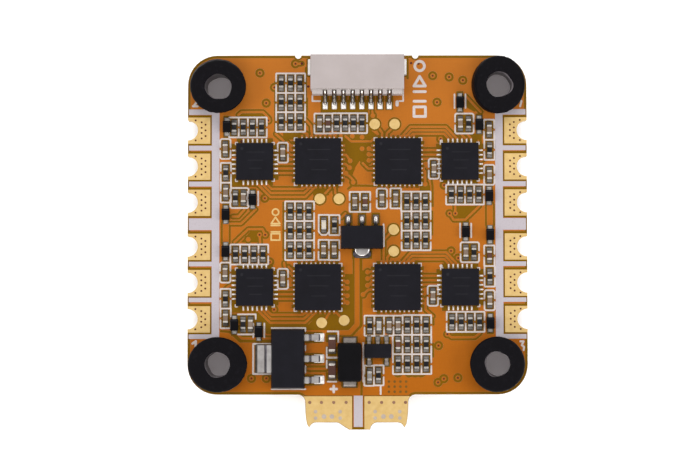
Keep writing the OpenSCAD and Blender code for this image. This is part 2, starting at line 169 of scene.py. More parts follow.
def ring_path(x0, y0, x1, y1, chamfer=0.0):
    """A closed line round a rectangle, with its corners cut."""
    c = chamfer
    return [(x0 + c, y0), (x1 - c, y0), (x1, y0 + c), (x1, y1 - c), (x1 - c, y1),
            (x0 + c, y1), (x0, y1 - c), (x0, y0 + c), (x0 + c, y0)]


# ---- solid shapes: each is (points, faces) ----
def loft(rings):
    """A closed solid through rings of equal length, the first at the bottom."""
    n = len(rings[0])
    points = [p for ring in rings for p in ring]
    faces = [tuple(reversed(range(n))), tuple(range(len(points) - n, len(points)))]
    for k in range(len(rings) - 1):
        for i in range(n):
            j = (i + 1) % n
            faces.append((k * n + i, k * n + j, (k + 1) * n + j, (k + 1) * n + i))
    return points, faces


def plate(loop, z0, z1):
    """A flat solid with the loop as its outline."""
    return loft([[(x, y, z) for x, y in loop] for z in (z0, z1)])


def slab(w, l, z0, z1, corner, bevel, base=0.02):
    """A box with round corners in plan and a round upper edge, cut back by base at its foot."""
    steps = 3
    levels = [(z0, base), (z0 + base, 0)]
    for i in range(steps + 1):
        a = math.radians(90 * i / steps)
        levels.append((z1 - bevel + bevel * math.sin(a), bevel * (1 - math.cos(a))))
    rings = []
    for z, inset in levels:
        r = max(corner - inset, 0.01)
        rings.append([(x, y, z) for x, y in centred(0, 0, w - 2 * inset, l - 2 * inset, r, 3)])
    return loft(rings)


def moulded(w, l, z0, z1, parting, draft, corner=0.08, bevel=0.05):
    """A moulded package: its sides lean in above and below the parting line."""
    rings = []
    for z, inset in [(z0, draft), (parting, 0), (parting + 0.02, 0), (z1 - bevel, draft),
                     (z1 - bevel * 0.3, draft + bevel * 0.3), (z1, draft + bevel)]:
        rings.append([(x, y, z) for x, y in centred(0, 0, w - 2 * inset, l - 2 * inset, corner, 3)])
    return loft(rings)


def strap(path, width, thickness, bevel=0.025):
    """A flat metal strap along +Y, bent along a path of (y, z) points.

    width is one number, or a list with a number for each point of the path.
    """
    widths = width if isinstance(width, list) else [width] * len(path)
    rings = []
    for i, (y, z) in enumerate(path):
        before = path[max(i - 1, 0)]
        after = path[min(i + 1, len(path) - 1)]
        dy, dz = after[0] - before[0], after[1] - before[1]
        size = math.hypot(dy, dz)
        up = (-dz / size, dy / size)
        section = centred(0, 0, widths[i], thickness, bevel, 1)
        rings.append([(-s, y + up[0] * t, z + up[1] * t) for s, t in section])
    return loft(rings)


def strap_paint(path, shaded):
    """Face materials of a strap: 1 on the numbered stretches of its path, 0 elsewhere."""
    sides = len(centred(0, 0, 1, 1, 0.1, 1))
    stretches = [1 if k in shaded else 0 for k in range(len(path) - 1)]
    return [0, 0] + [m for m in stretches for _ in range(sides)]


def meniscus(low, high, z0, z1, corner=0.08, steps=4):
    """Solder that climbs in a hollow curve from one rectangle (x, y, w, l) to another."""
    rings = []
    for i in range(steps + 1):
        t = i / steps
        k = (1 - t) ** 2
        x, y, w, l = (b + (a - b) * k for a, b in zip(low, high))
        rings.append([(px, py, z0 + (z1 - z0) * t)
                      for px, py in centred(x, y, w, l, min(corner, w / 2.2, l / 2.2), 3)])
    return loft(rings)


def lathe(profile, steps):
    """A ring turned about Z from a closed profile of (radius, z) points."""
    n = len(profile)
    points = [(r * math.cos(2 * math.pi * k / steps), r * math.sin(2 * math.pi * k / steps), z)
              for k in range(steps) for r, z in profile]
    faces = []
    for k in range(steps):
        m = (k + 1) % steps
        for i in range(n):
            j = (i + 1) % n
            faces.append((k * n + i, m * n + i, m * n + j, k * n + j))
    return points, faces


def region(groups, keep, z0, z1):
    """A closed plate over the part of the plane whose group names satisfy keep.

    groups maps a name to loops. A point belongs to a group when any of its loops holds it.
    """
    points, faces, names = [], [], []
    for name, loops in groups.items():
        for loop in loops:
            area = sum(a[0] * b[1] - b[0] * a[1] for a, b in zip(loop, loop[1:] + loop[:1]))
            ordered = loop if area > 0 else loop[::-1]
            faces.append(list(range(len(points), len(points) + len(ordered))))
            points += [Vector(p) for p in ordered]
            names.append(name)
    found = delaunay_2d_cdt(points, [], faces, 1, 1e-5, True)
    flat, triangles, owners = found[0], found[2], found[5]
    kept = [t for t, o in zip(triangles, owners) if keep({names[i] for i in o})]
    used = sorted({i for t in kept for i in t})
    place = {v: i for i, v in enumerate(used)}
    n = len(used)
    verts = [(flat[v][0], flat[v][1], z) for z in (z0, z1) for v in used]
    out = []
    # Edges that no second triangle shares. A dict keeps them in order.
    border = {}
    for a, b, c in kept:
        a, b, c = place[a], place[b], place[c]
        out += [(a + n, b + n, c + n), (c, b, a)]
        for start, end in ((a, b), (b, c), (c, a)):
            if border.pop((end, start), None) is None:
                border[(start, end)] = True
    out += [(a, b, b + n, a + n) for a, b in border]
    return verts, out


class Piece:
    """Collects solid shapes, in millimetres, that become one object."""

    def __init__(self, name, *materials):
        self.name, self.materials = name, materials
        self.points, self.faces, self.paint, self.smooth = [], [], [], []

    def add(self, shape, at=(0, 0, 0), turn=0.0, material=0, smooth=False, under=False):
        """under hangs the shape below the board: its own z = 0 is the place's z, and +z is down.

        material is one number, or a list with a number for each face.
        """
        points, faces = shape
        start = len(self.points)
        c, s = math.cos(math.radians(turn)), math.sin(math.radians(turn))
        flip = -1 if under else 1
        for x, y, z in points:
            self.points.append((at[0] + c * x - s * y, at[1] + s * x + c * y, at[2] + flip * z))
        for face in faces:
            face = face[::-1] if under else face
            self.faces.append(tuple(start + i for i in face))
        self.paint += material if isinstance(material, list) else [material] * len(faces)
        self.smooth += [smooth] * len(faces)
        return self

    def done(self, slot, *nodes):
        mesh = bpy.data.meshes.new(self.name)
        mesh.from_pydata([[c * MM for c in p] for p in self.points], [], self.faces)
        for material in self.materials:
            mesh.materials.append(material)
        mesh.polygons.foreach_set("material_index", self.paint)
        mesh.polygons.foreach_set("use_smooth", self.smooth)
        mesh.update()
        obj = bpy.data.objects.new(self.name, mesh)
        bpy.context.scene.collection.objects.link(obj)
        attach(obj, "root")
        if nodes:
            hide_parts(*nodes)
        return obj


# ---- materials ----
class Nodes:
    """A node material under construction, with one Principled shader."""

    def __init__(self, name, **sockets):
        self.material = bpy.data.materials.new(name)
        self.material.use_nodes = True
        self.tree = self.material.node_tree
        self.shader = self.tree.nodes["Principled BSDF"]
        for socket, value in sockets.items():
            self.shader.inputs[socket.replace("_", " ")].default_value = value
        self.where = self.tree.nodes.new("ShaderNodeTexCoord").outputs["Object"]

    def put(self, port, value):
        """Links a socket to the port, or sets the port's own value."""
        if isinstance(value, bpy.types.NodeSocket):
            self.tree.links.new(value, port)
        else:
            port.default_value = value

    def node(self, kind, **inputs):
        node = self.tree.nodes.new(kind)
        for socket, value in inputs.items():
            self.put(node.inputs[socket.replace("_", " ")], value)
        return node

    def noise(self, scale, detail=3.0, roughness=0.55, where=None):
        node = self.node("ShaderNodeTexNoise", Scale=scale, Detail=detail, Roughness=roughness,
                         Vector=where or self.where)
        return node.outputs["Fac"]

    def stretched(self, x, y, z):
        node = self.node("ShaderNodeMapping", Scale=(x, y, z), Vector=self.where)
        return node.outputs["Vector"]

    def ramp(self, value, *stops):
        node = self.node("ShaderNodeValToRGB", Fac=value)
        elements = node.color_ramp.elements
        while len(elements) < len(stops):
            elements.new(0.5)
        for element, (place, colour) in zip(elements, stops):
            element.position = place
            element.color = (*colour, 1)
        return node.outputs["Color"]

    def mix(self, factor, a, b):
        node = self.node("ShaderNodeMix")
        node.data_type = "RGBA"
        for port, value in zip((node.inputs[0], node.inputs[6], node.inputs[7]), (factor, a, b)):
            self.put(port, value)
        return node.outputs[2]

    def scaled(self, value, low, high):
        node = self.node("ShaderNodeMapRange", Value=value, To_Min=low, To_Max=high)
        return node.outputs["Result"]

    def colour(self, value):
        self.tree.links.new(value, self.shader.inputs["Base Color"])
        return self

    def rough(self, value):
        self.tree.links.new(value, self.shader.inputs["Roughness"])
        return self

    def bump(self, height, strength, distance):
        node = self.node("ShaderNodeBump", Height=height, Strength=strength, Distance=distance)
        self.tree.links.new(node.outputs["Normal"], self.shader.inputs["Normal"])
        return self


LIGHT_LEVEL = 2.1


def linear(r, g, b, level=LIGHT_LEVEL):
    """The shader's colour for a surface that reads as r, g, b (0 to 255) under the set's light."""
    return tuple(((c / 255 / 12.92) if c <= 10 else ((c / 255 + 0.055) / 1.055) ** 2.4) / level
                 for c in (r, g, b))


def mask_material(name, battery_end, socket_end):
    """Solder mask: a thin glossy lacquer over the faint weave of the cloth, with painted light that makes
    it paler towards +Y, the key lamp's side.
    """
    m = Nodes(name, Specular_IOR_Level=0.06)
    y = m.node("ShaderNodeSeparateXYZ", Vector=m.where).outputs["Y"]
    along = m.node("ShaderNodeMapRange", Value=y, From_Min=-EDGE * MM, From_Max=EDGE * MM)
    weave_x = m.noise(1.0, 1, 0.5, m.stretched(5200, 700, 1))
    weave_y = m.noise(1.0, 1, 0.5, m.stretched(700, 5200, 1))
    cloth = m.mix(0.5, weave_x, weave_y)
    low, high = linear(*battery_end), linear(*socket_end)
    # painted light: the mask is paler at its socket end, nearer the key lamp
    painted_light_ramp = m.ramp(along.outputs["Result"], (0, low), (1, high))
    mean = tuple((a + b) / 2 for a, b in zip(low, high))
    fibre = m.ramp(cloth, (0.3, tuple(0.9 * c for c in mean)), (0.7, tuple(1.08 * c for c in mean)))
    m.colour(m.mix(0.25, painted_light_ramp, fibre))
    m.rough(m.scaled(m.noise(2500, 2), 0.3, 0.44))
    return m.bump(cloth, 0.10, 0.00002).material


def metal_material(name, dark, light, rough, grain=5000, metallic=1.0, level=1.7, relief=0.25):
    """Plated or soldered metal, with a fine uneven surface.

    Metals mirror the set, so each has its own light level in place of LIGHT_LEVEL.
    """
    m = Nodes(name, Metallic=metallic)
    spots = m.noise(grain, 3, 0.6)
    m.colour(m.ramp(spots, (0.25, linear(*dark, level)), (0.75, linear(*light, level))))
    m.rough(m.scaled(m.noise(grain / 3, 2), rough - 0.06, rough + 0.1))
    return m.bump(spots, relief, 0.00002).material


def plastic_material(name, dark, light, rough, grain=9000, strength=0.3, **sockets):
    """Moulded plastic or ceramic, with a fine matt grain and slight blotches."""
    sockets.setdefault("Specular_IOR_Level", 0.15)
    m = Nodes(name, **sockets)
    blotch = m.noise(grain / 12, 4, 0.6)
    m.colour(m.ramp(blotch, (0.3, linear(*dark)), (0.7, linear(*light))))
    m.rough(m.scaled(m.noise(grain / 4, 2), rough - 0.07, rough + 0.07))
    return m.bump(m.noise(grain, 2, 0.7), strength, 0.00001).material


def print_material(name, dark, light):
    """White print: a chalky ink with thin places where the mask shows through."""
    m = Nodes(name, Specular_IOR_Level=0.2)
    thin = m.noise(6000, 3, 0.65)
    m.colour(m.ramp(thin, (0.30, linear(*dark)), (0.48, linear(*light))))
    m.rough(m.scaled(thin, 0.45, 0.65))
    return m.bump(thin, 0.3, 0.00001).material


def laminate_material():
    """The cut edge of the board: straw-coloured resin with the layers of cloth end on."""
    m = Nodes("board_laminate", Roughness=0.7, Specular_IOR_Level=0.2)
    layers = m.noise(1.0, 2, 0.5, m.stretched(600, 600, 9000))
    m.colour(m.ramp(layers, (0.35, linear(120, 96, 44)), (0.65, linear(176, 150, 88))))
    return m.bump(layers, 0.5, 0.00003).material


def rubber_material():
    """Soft silicone: nearly black, with dust and mould marks."""
    m = Nodes("grommet_rubber", Specular_IOR_Level=0.05)
    dust = m.noise(2600, 5, 0.75)
    m.colour(m.ramp(dust, (0.55, linear(14, 12, 17)), (0.74, linear(30, 28, 34))))
    m.rough(m.scaled(m.noise(1400, 3), 0.5, 0.72))
    return m.bump(m.noise(5200, 4, 0.6), 0.4, 0.00004).material


# Each mask's second colour is its socket end, painted paler as light from the key lamp.
MASK = mask_material("mask_on_copper", (187, 103, 12), (208, 125, 44))
BARE_MASK = mask_material("mask_on_laminate", (136, 94, 0), (142, 101, 6))
# A pale peach ring round the copper: a painted highlight of the mask's sloping edge.
SHOULDER_HIGHLIGHT = mask_material("mask_shoulder_painted_highlight", (206, 140, 86), (222, 158, 104))
LAMINATE = laminate_material()
PRINT = print_material("board_print", (206, 190, 180), (228, 216, 211))
BAND = print_material("board_band_print", (198, 188, 193), (207, 198, 204))
GOLD = metal_material("gold_plate", (222, 184, 112), (238, 203, 134), 0.45, 1600, 0.5, 1.75)
PLUGGED = metal_material("plugged_via", (188, 172, 158), (206, 192, 178), 0.5, 1600, 0.5, 1.75)
TIN = metal_material("tin_plate", (196, 190, 188), (232, 228, 226), 0.32, 1300, relief=0.1)
# Tin painted with shade, for the parts of leads and solder that lie in shade.
SHADED_TIN = metal_material("tin_plate_shaded", (84, 80, 86), (120, 116, 122), 0.4, 1300)
SOLDER = metal_material("solder", (92, 86, 80), (144, 137, 130), 0.5, 1800, 0.35, 1.95, 0.03)
BRIGHT_TIN = metal_material("bright_tin", (226, 220, 214), (250, 247, 244), 0.4, 2500, 0.3, 1.5, 0.1)
CAP_TIN = metal_material("end_cap_tin", (162, 156, 150), (206, 200, 194), 0.45, 1800, 0.5, 1.9, 0.03)
CERAMIC_TIN = metal_material("ceramic_end_tin", (186, 179, 170), (214, 208, 200), 0.4, 2600, 0.5,
                             relief=0.1)
DULL_TIN = metal_material("dull_tin", (140, 130, 124), (176, 166, 158), 0.45, 1800, 0.5, 1.9, 0.05)
CONTACT = metal_material("contact_metal", (190, 186, 178), (236, 232, 226), 0.22, level=1.4)
# Dark brown painted shade that stands for the inside of the open via holes.
VIA_HOLE_SHADE = plastic_material("via_hole_painted_shade", (84, 30, 18), (108, 48, 32), 0.6)
TAB_VIA_FILL = plastic_material("tab_via_fill", (142, 98, 78), (170, 128, 102), 0.6)
OLIVE_VIA_FILL = plastic_material("olive_via_fill", (112, 76, 10), (132, 94, 20), 0.6)
CHIP = plastic_material("chip_moulding", (21, 20, 27), (26, 25, 33), 0.5, Specular_IOR_Level=0.08)
CHIP_MARK = plastic_material("chip_laser_mark", (29, 28, 35), (35, 34, 41), 0.7)
DIODE_PLASTIC = plastic_material("diode_moulding", (7, 6, 9), (12, 10, 15), 0.5,
                                 Specular_IOR_Level=0.06)
GLAZE = plastic_material("resistor_glaze", (20, 20, 24), (32, 31, 36), 0.35, 5000)
ALUMINA = plastic_material("resistor_alumina", (176, 168, 160), (206, 198, 190), 0.6, 5000)
TAN = plastic_material("capacitor_tan", (128, 108, 94), (150, 130, 114), 0.5, 5000)
BROWN = plastic_material("capacitor_brown", (88, 56, 46), (110, 72, 60), 0.5, 5000)
GREY = plastic_material("capacitor_grey", (150, 146, 144), (188, 184, 182), 0.5, 5000)
NYLON = plastic_material("socket_nylon", (192, 181, 179), (202, 191, 189), 0.5, 4000, 0.25)
# Paler nylon for the socket's lip: painted light.
LIT_LIP_NYLON = plastic_material("socket_lip_nylon_painted_light", (228, 218, 215), (238, 228, 225), 0.5, 4000, 0.25)
LENS = plastic_material("light_lens", (218, 206, 184), (236, 230, 216), 0.25, 3000, 0.1)
RUBBER = rubber_material()
# The bore of the black rubber, painted pale grey and glossy: painted light.
LIT_BORE_RUBBER = plastic_material("grommet_bore_painted_light", (148, 139, 144), (174, 165, 170), 0.42, 3000,
                               Specular_IOR_Level=0.5)


# ---- board outline ----
CORNER = 3.25
HALF_HOLE = 1.2
NOTCH = 0.35
NOTCH_X = (-6.45, 6.35)
GROMMET_NECK = 2.0
PAD_ROWS = sorted({round(b.y, 3) for b in MOTOR_PADS})
# The tab: its middle, half width, fillet, and the radius and ends of the slots in its end.
TAB_X = -0.1
TAB_HALF = 5.6
TAB_FILLET = 0.8
TAB_SLOT = 0.78
TAB_SLOT_X = (2.25, 4.4)
# The slope out of the left slot towards the middle, the worn outer corners as (inwards, up), and
# the angle at which a slot meets the tab's end on its outer side.
TAB_SLOPE = [(1.3, 0.28), (0.85, 0.0)]
TAB_TAPER = [(0.03, 1.9), (0.09, 1.15), (0.2, 0.6)]
TAB_HORN = 14


def tab_side(side, inset):
    """One side of the tab, from its fillet to the inner end of the slot in its end."""
    slot = TAB_SLOT + inset
    lip = math.degrees(math.asin(inset / slot))
    points = arc(TAB_HALF + TAB_FILLET, -EDGE - TAB_FILLET, TAB_FILLET + inset, 90, 180, 6)
    points += [(TAB_HALF - x - inset, TAB_END + y) for x, y in TAB_TAPER]
    points += arc(TAB_SLOT_X[1], TAB_END, slot, TAB_HORN + lip, 90, 6)
    if side < 0:
        points += arc(TAB_SLOT_X[0], TAB_END, slot, 90, 130, 4)
        points += [(x - inset, TAB_END + y + inset) for x, y in TAB_SLOPE]
    else:
        points += arc(TAB_SLOT_X[0], TAB_END, slot, 90, 180 - lip, 6)
    return [(TAB_X + side * x, y) for x, y in points]


def board_outline(inset=0.0):
    """The board's outline, drawn in from its edge by inset, without the half holes."""
    e, r = EDGE - inset, CORNER - inset
    corners = arc(e - r, e - r, r, 90, 0, 10) + arc(e - r, r - e, r, 0, -90, 10)
    return (corners + tab_side(1, inset) + tab_side(-1, inset)[::-1]
            + [(-x, y) for x, y in reversed(corners)])


def half_holes(r):
    return [disc(side * EDGE, y, r, 32) for side in (-1, 1) for y in PAD_ROWS]


def corner_holes(r):
    return [disc(sx * HOLE, sy * HOLE, r, 40) for sx in (-1, 1) for sy in (-1, 1)]


def edge_notches(r):
    return [disc(x, EDGE, r, 24) for x in NOTCH_X]


# ---- copper on the controller side ----
# The pour stops short of the board's edge by POUR_INSET. GAP is the clearance beside a trace, and
# SEAM the width of a clearance with no trace in it.
POUR_INSET = 0.3
GAP = 0.25
TRACE = 0.2
SEAM = 0.29
LEAD_PITCH = 0.5
VIA_R = 0.11
DARK_VIA_R = 0.14
VIA_RING = 0.24
LONE_VIA_GAP = 0.53
EDGE_PAD_GAP = 0.18
HOLE_GAP = 0.2
# Chips with terminals all round: the chips, terminals on a side, and how far their pads reach.
SQUARE_CHIPS = [(MCUS, 8, 0.4), (DRIVERS, 6, 0.6)]


def pad_places(nodes):
    """Solder pads of the nodes' small parts, as (x, y, w, l)."""
    return [(b.x, b.y, b.w, b.l) for node in nodes for b in solids(node)]


def chip_lead_places(chip, count, reach):
    """Middle of each terminal round a square chip, and the way it points, in degrees."""
    half = chip.w / 2
    out = []
    for side, (dx, dy) in enumerate([(0, 1), (-1, 0), (0, -1), (1, 0)]):
        for i in range(count):
            offset = (i - (count - 1) / 2) * LEAD_PITCH
            out.append((chip.x + dx * (half + reach / 2) + dy * offset,
                        chip.y + dy * (half + reach / 2) + dx * offset, side * 90))
    return out


def left_bus(y):
    """Three traces from the lower side of a left driver to its controller's, below their row y."""
    out = []
    for i in range(3):
        drop = y - 2.98 - 0.44 * i
        start = -9.9 - 0.5 * i
        end = -5.45 + 0.5 * i
        out.append([(start, y - 2.3), (start, y - 2.45), (start + (y - 2.45 - drop), drop),
                    (end - 0.25 - (y - 2.7 - drop) * 0.85, drop), (end, y - 2.6)])
    return out


def right_bus(y):
    """Three traces from the upper side of a right controller to its driver's, above their row y."""
    out = []
    for i in range(3):
        rise = y + 3.03 + 0.38 * i
        start = 5.65 - 0.45 * i
        end = 9.98 + 0.47 * i
        run = rise - y - 2.55
        out.append([(start, y + 2.6), (start + run * 0.85, rise), (end - run, rise),
                    (end, y + 2.45), (end, y + 2.3)])
    return out


TRACES = [
    # loops round the groups of four resistors
    [(-13.0, 12.0), (-12.65, 12.3), (-10.3, 12.3), (-9.62, 11.6), (-9.72, 11.38)],
    [(13.3, -11.85), (12.75, -12.3), (10.2, -12.3), (9.77, -11.95)],
    [(-13.4, -1.93), (-11.9, -0.5), (-10.35, -0.5), (-10.05, -1.12)],
    [(-10.67, -1.12), (-10.6, -2.0)],
    [(13.3, 2.0), (11.75, 0.5), (10.5, 0.5), (10.05, 1.19)],
    [(10.68, 1.2), (10.68, 2.1)],
    # left edge
    [(-13.6, 0.88), (-12.98, 0.88), (-12.3, 1.65)],
    [(-13.9, 0.1), (-12.67, 0.1), (-11.1, 1.65)],
    [(-13.1, -11.9), (-12.6, -12.4), (-9.45, -12.4)],
    [(-14.35, -7.0), (-13.9, -6.65), (-13.4, -6.65)],
    [(-13.7, 7.3), (-13.3, 7.3)],
    [(13.4, 6.9), (13.75, 7.1), (13.95, 7.2)],
    [(13.4, -6.2), (13.8, -6.9)],
    # from the group above the upper left controller
    [(-5.7, 11.5), (-5.05, 10.8), (-4.92, 9.6)],
    [(-6.2, 10.2), (-5.45, 9.9), (-5.42, 9.5)],
    [(-8.9, 9.9), (-8.05, 9.15)],
    [(-7.85, 8.2), (-7.25, 7.6), (-7.0, 7.6)],
    [(-7.6, 9.0), (-7.3, 8.7), (-7.3, 8.1), (-7.0, 8.1)],
    # between the upper controllers
    [(-1.3, 9.66), (-0.67, 9.08), (1.5, 9.08), (1.85, 9.4)],
    [(-2.9, 9.5), (-2.9, 9.9)], [(-2.4, 9.5), (-2.4, 9.9)],
    [(-1.7, 7.6), (-1.2, 7.6), (-0.8, 6.95)],
    [(-1.7, 6.6), (-1.3, 6.6), (-0.85, 6.2)],
    [(-1.7, 6.1), (-1.25, 5.6)],
    [(-1.7, 5.6), (-0.9, 5.3), (-0.45, 4.85), (-0.45, 4.5)],
    [(1.95, 8.1), (1.3, 8.2)], [(1.95, 7.6), (1.3, 7.6)], [(1.95, 7.1), (1.3, 7.0)],
    [(1.95, 6.1), (1.2, 6.1), (0.6, 6.7)],
    [(1.65, 12.4), (1.7, 11.9)],
    [(2.45, 10.4), (2.72, 10.0), (2.72, 9.5)],
    [(3.65, 10.35), (3.22, 9.95), (3.22, 9.5)],
    # to the test pads
    [(-3.5, 3.4), (-2.95, 4.0)],
    [(-2.4, 3.4), (-2.45, 4.1)],
    [(3.5, -1.0), (2.85, -1.7), (2.85, -4.2)],
    [(3.5, -3.3), (3.25, -3.6), (3.25, -4.2)],
    [(-3.45, -10.25), (-3.05, -9.6)],
    [(-1.85, -10.05), (-2.45, -9.5)],
    # beside the lower controllers
    [(-1.75, -6.1), (-1.12, -6.27)], [(-1.75, -6.6), (-1.12, -6.96)],
    [(-1.75, -7.6), (-1.12, -7.77)], [(-1.75, -8.1), (-1.12, -8.52)],
    [(1.75, -5.1), (1.1, -5.2)], [(1.75, -5.6), (1.1, -5.9)], [(1.75, -6.1), (1.1, -6.65)],
    [(1.75, -7.1), (1.2, -7.1), (0.6, -7.65)],
    [(-7.0, -5.1), (-7.5, -4.6)], [(-7.0, -5.6), (-7.9, -4.75), (-8.0, -4.2)],
    # right edge and the diode near the upper right grommet
    [(11.9, 14.0), (13.5, 12.3)],
    [(11.4, 9.8), (11.8, 9.4)], [(12.0, 9.9), (12.4, 9.4)],
    [(7.05, 6.1), (7.4, 5.8), (7.4, 4.4)],
    [(7.9, -7.7), (7.4, -8.2), (7.4, -9.3), (8.2, -10.0)],
    [(-2.3, 0.6), (-1.75, 0.75), (-1.3, 1.2)],
    [(3.0, -12.0), (3.3, -11.8)],
    [(-5.4, -15.7), (-4.2, -15.7), (-3.4, -15.7)],
    # between the two vias at the socket's left end
    [(-6.75, 17.6), (-6.05, 17.62)],
]
TRACES += left_bus(MCUS[1].y) + left_bus(MCUS[0].y) + right_bus(MCUS[3].y) + right_bus(MCUS[2].y)
TRACES += [[(-8.75, MCUS[c].y - d), (-6.95, MCUS[c].y - d)] for c in (0, 1) for d in (0.25, 0.75, 1.25)]
TRACES += [[(6.95, MCUS[c].y + d), (8.75, MCUS[c].y + d)] for c in (2, 3) for d in (0.3, 0.75, 1.25)]

WIDE_TRACES = [
    (0.62, [(-14.35, 0.1), (-14.35, -1.95)]),
    (0.62, [(14.45, 2.1), (14.45, -0.1)]),
    (0.5, [(-0.05, -3.7), (-0.05, -10.9), (-0.85, -11.78), (-2.1, -11.8)]),
]

# Vias that stand alone in the copper, and those that end a trace.
LONE_VIAS = [
    (-10.64, 16.59), (-9.95, 13.29), (-9.05, 15.0), (-6.75, 17.6), (8.25, 16.27), (10.05, 16.13),
    (11.55, 15.77), (8.72, 13.36), (-10.1, 2.87), (-9.55, -4.08), (-9.08, -9.28), (9.1, 9.33),
    (9.47, 4.28), (10.2, -2.9), (10.98, -3.68), (8.8, -13.2), (8.74, -17.2), (9.37, -16.8),
    (10.9, -16.7), (-11.54, -16.74), (-9.92, -16.74)
]
END_VIAS = [
    (-10.05, -1.12), (-10.67, -1.12), (10.05, 1.19), (10.68, 1.19), (9.77, -11.96), (-9.72, 11.38)
]
BLIND_STUBS = [
    (-0.54, 9.66), (0.52, 9.55), (0.52, 8.28), (1.27, 8.28), (1.27, 7.66), (1.27, 7.0), (-0.8, 6.95),
    (-0.85, 6.2), (-1.25, 5.6), (-0.45, 4.6), (1.7, 11.9), (-11.9, -1.62), (-1.12, -6.27),
    (-1.12, -6.96), (-1.12, -7.77), (-1.12, -8.52), (1.1, -5.2), (1.1, -5.9), (1.1, -6.65),
    (0.6, -7.65), (-2.9, 9.95), (-2.4, 9.95), (7.4, 4.4)
]
DARK_VIAS = [(-6.05, 17.62), (5.9, 17.65), (6.7, 17.6), (-12.64, 9.1), (1.78, -16.02), (-5.35, 15.1)]
TAB_VIAS = [(x, y) for x in (3.4, 4.02, 4.65, 5.27) for y in (-17.1, -17.65, -18.2)]

# Places with no copper at all, where the laminate shows green-brown through the mask.
BARE = [
    [(-1.6, 12.0), (1.6, 12.0), (1.6, 10.2), (2.2, 9.7), (1.9, 6.9), (0.2, 6.9), (-0.2, 6.3),
     (-0.6, 5.2), (-1.6, 5.2)],
    rect(-8.1, 9.3, -5.75, 10.05),
    [(-4.85, 4.1), (-3.1, 4.1), (-3.1, 3.2), (-4.85, 3.2)],
    rect(-1.75, -11.4, -0.45, -5.4),
    [(-9.9, -10.9), (-5.3, -10.9), (-4.2, -9.5), (-0.45, -9.5), (-0.45, -10.6), (-1.2, -11.5),
     (-5.6, -11.5), (-5.6, -11.9), (-9.9, -11.9)],
    rect(0.3, -7.3, 1.75, -5.0),
    [(-12.7, -1.95), (-11.7, -0.8), (-10.9, -0.8), (-10.9, -1.95)],
    [(13.1, 2.0), (11.65, 0.75), (10.95, 0.75), (10.95, 2.0)],
    rect(-13.8, 4.2, -12.4, 4.9),
    rect(-13.9, -9.6, -11.2, -8.4),
    rect(6.8, 3.6, 7.95, 4.25),
    [(11.75, 14.0), (13.1, 12.5), (12.8, 12.3), (11.75, 12.9)],
    rect(-12.9, 11.8, -10.1, 12.15),
    rect(10.3, -12.05, 12.8, -11.8),
    rect(-4.0, 12.0, 1.2, 13.6),
    [(11.0, 9.9), (13.6, 9.9), (13.6, 7.8), (13.3, 7.8), (13.3, 9.25), (11.3, 9.25)],
    [(-11.2, -8.9), (-9.9, -8.9), (-8.3, -10.6), (-8.3, -11.9), (-9.9, -11.9), (-11.2, -10.2)],
    [(-13.6, 4.9), (-10.2, 4.9), (-8.9, 3.6), (-9.6, 3.4), (-10.8, 4.1), (-13.6, 4.1)],
]
# Thin clearances that run along the copper without a trace in them.
SEAMS = [
    [(-8.05, 2.4), (-8.05, -3.6), (-7.9, -4.3), (-7.2, -5.2)],
    [(-1.0, 3.9), (-0.6, 4.25), (2.3, 4.2)],
    [(8.1, 4.8), (8.2, 4.2), (8.2, 2.0)],
    [(8.15, 1.4), (8.15, -1.1)],
    [(8.25, -9.9), (8.25, -10.9)],
    [(8.2, -13.0), (8.2, -14.4)],
    [(-8.95, 15.6), (-8.95, 10.0)],
    [(-5.5, 13.8), (-5.5, 11.9)],
    [(-14.85, -11.6), (-13.9, -11.7), (-12.8, -12.72), (-9.4, -12.72)],
    [(0.42, -3.7), (0.42, -11.0), (-0.4, -11.9), (-0.8, -12.3)],
    [(0.42, -17.1), (0.42, -18.6)],
    [(-5.3, -15.95), (-3.4, -15.95)], [(-5.3, -15.45), (-3.4, -15.45)],
    [(-5.6, 12.0), (-5.6, 17.1), (-5.3, 17.4), (-5.3, 18.2)],
    [(5.5, 18.1), (5.5, 16.0)],
]
# Rims of clearances that show under the printed cells of the lower right group.
SEAMS += [arc(x, -16.12, 0.42, 200, 340, 6) for x in (4.38, 5.6, 6.25, 6.9)]


def edge_pad_gaps(grow):
    """Clearances round the motor pads and the battery pads."""
    gap = EDGE_PAD_GAP - grow
    loops = [rect(b.low[0] - gap, b.low[1] - gap, b.high[0] + gap, b.high[1] + gap) for b in MOTOR_PADS]
    return loops + [rect(b.low[0] - 0.1, b.low[1] - 1, b.high[0] + 0.1, b.high[1] + 0.1 - grow)
                    for b in BATTERY_PADS.values()]


def edge_cuts(grow):
    """Where the copper stops short of the half holes and notches, and the grommets' holes."""
    return (half_holes(HALF_HOLE + HOLE_GAP - grow) + edge_notches(NOTCH + HOLE_GAP - grow)
            + corner_holes(GROMMET_NECK))


def add_track(groups, points, width, grow):
    """A trace and the clearance on both sides of it."""
    groups["metal"] += stroke(points, width + 2 * grow)
    groups["clear"] += stroke(points, width + 2 * (GAP - grow))


def add_chip_pads(groups, chip, count, reach, grow):
    """Pads of a square chip's terminals, in a clearance with its corners cut out."""
    side = chip.w / 2 + reach - grow
    for x, y, turn in chip_lead_places(chip, count, reach):
        w, l = (TRACE, reach) if turn in (0, 180) else (reach, TRACE)
        groups["metal"].append(centred(x, y, w + 2 * grow, l + 2 * grow))
    for dx, dy in ((side, side - 0.6), (side - 0.6, side)):
        groups["clear"].append(rect(chip.x - dx, chip.y - dy, chip.x + dx, chip.y + dy))


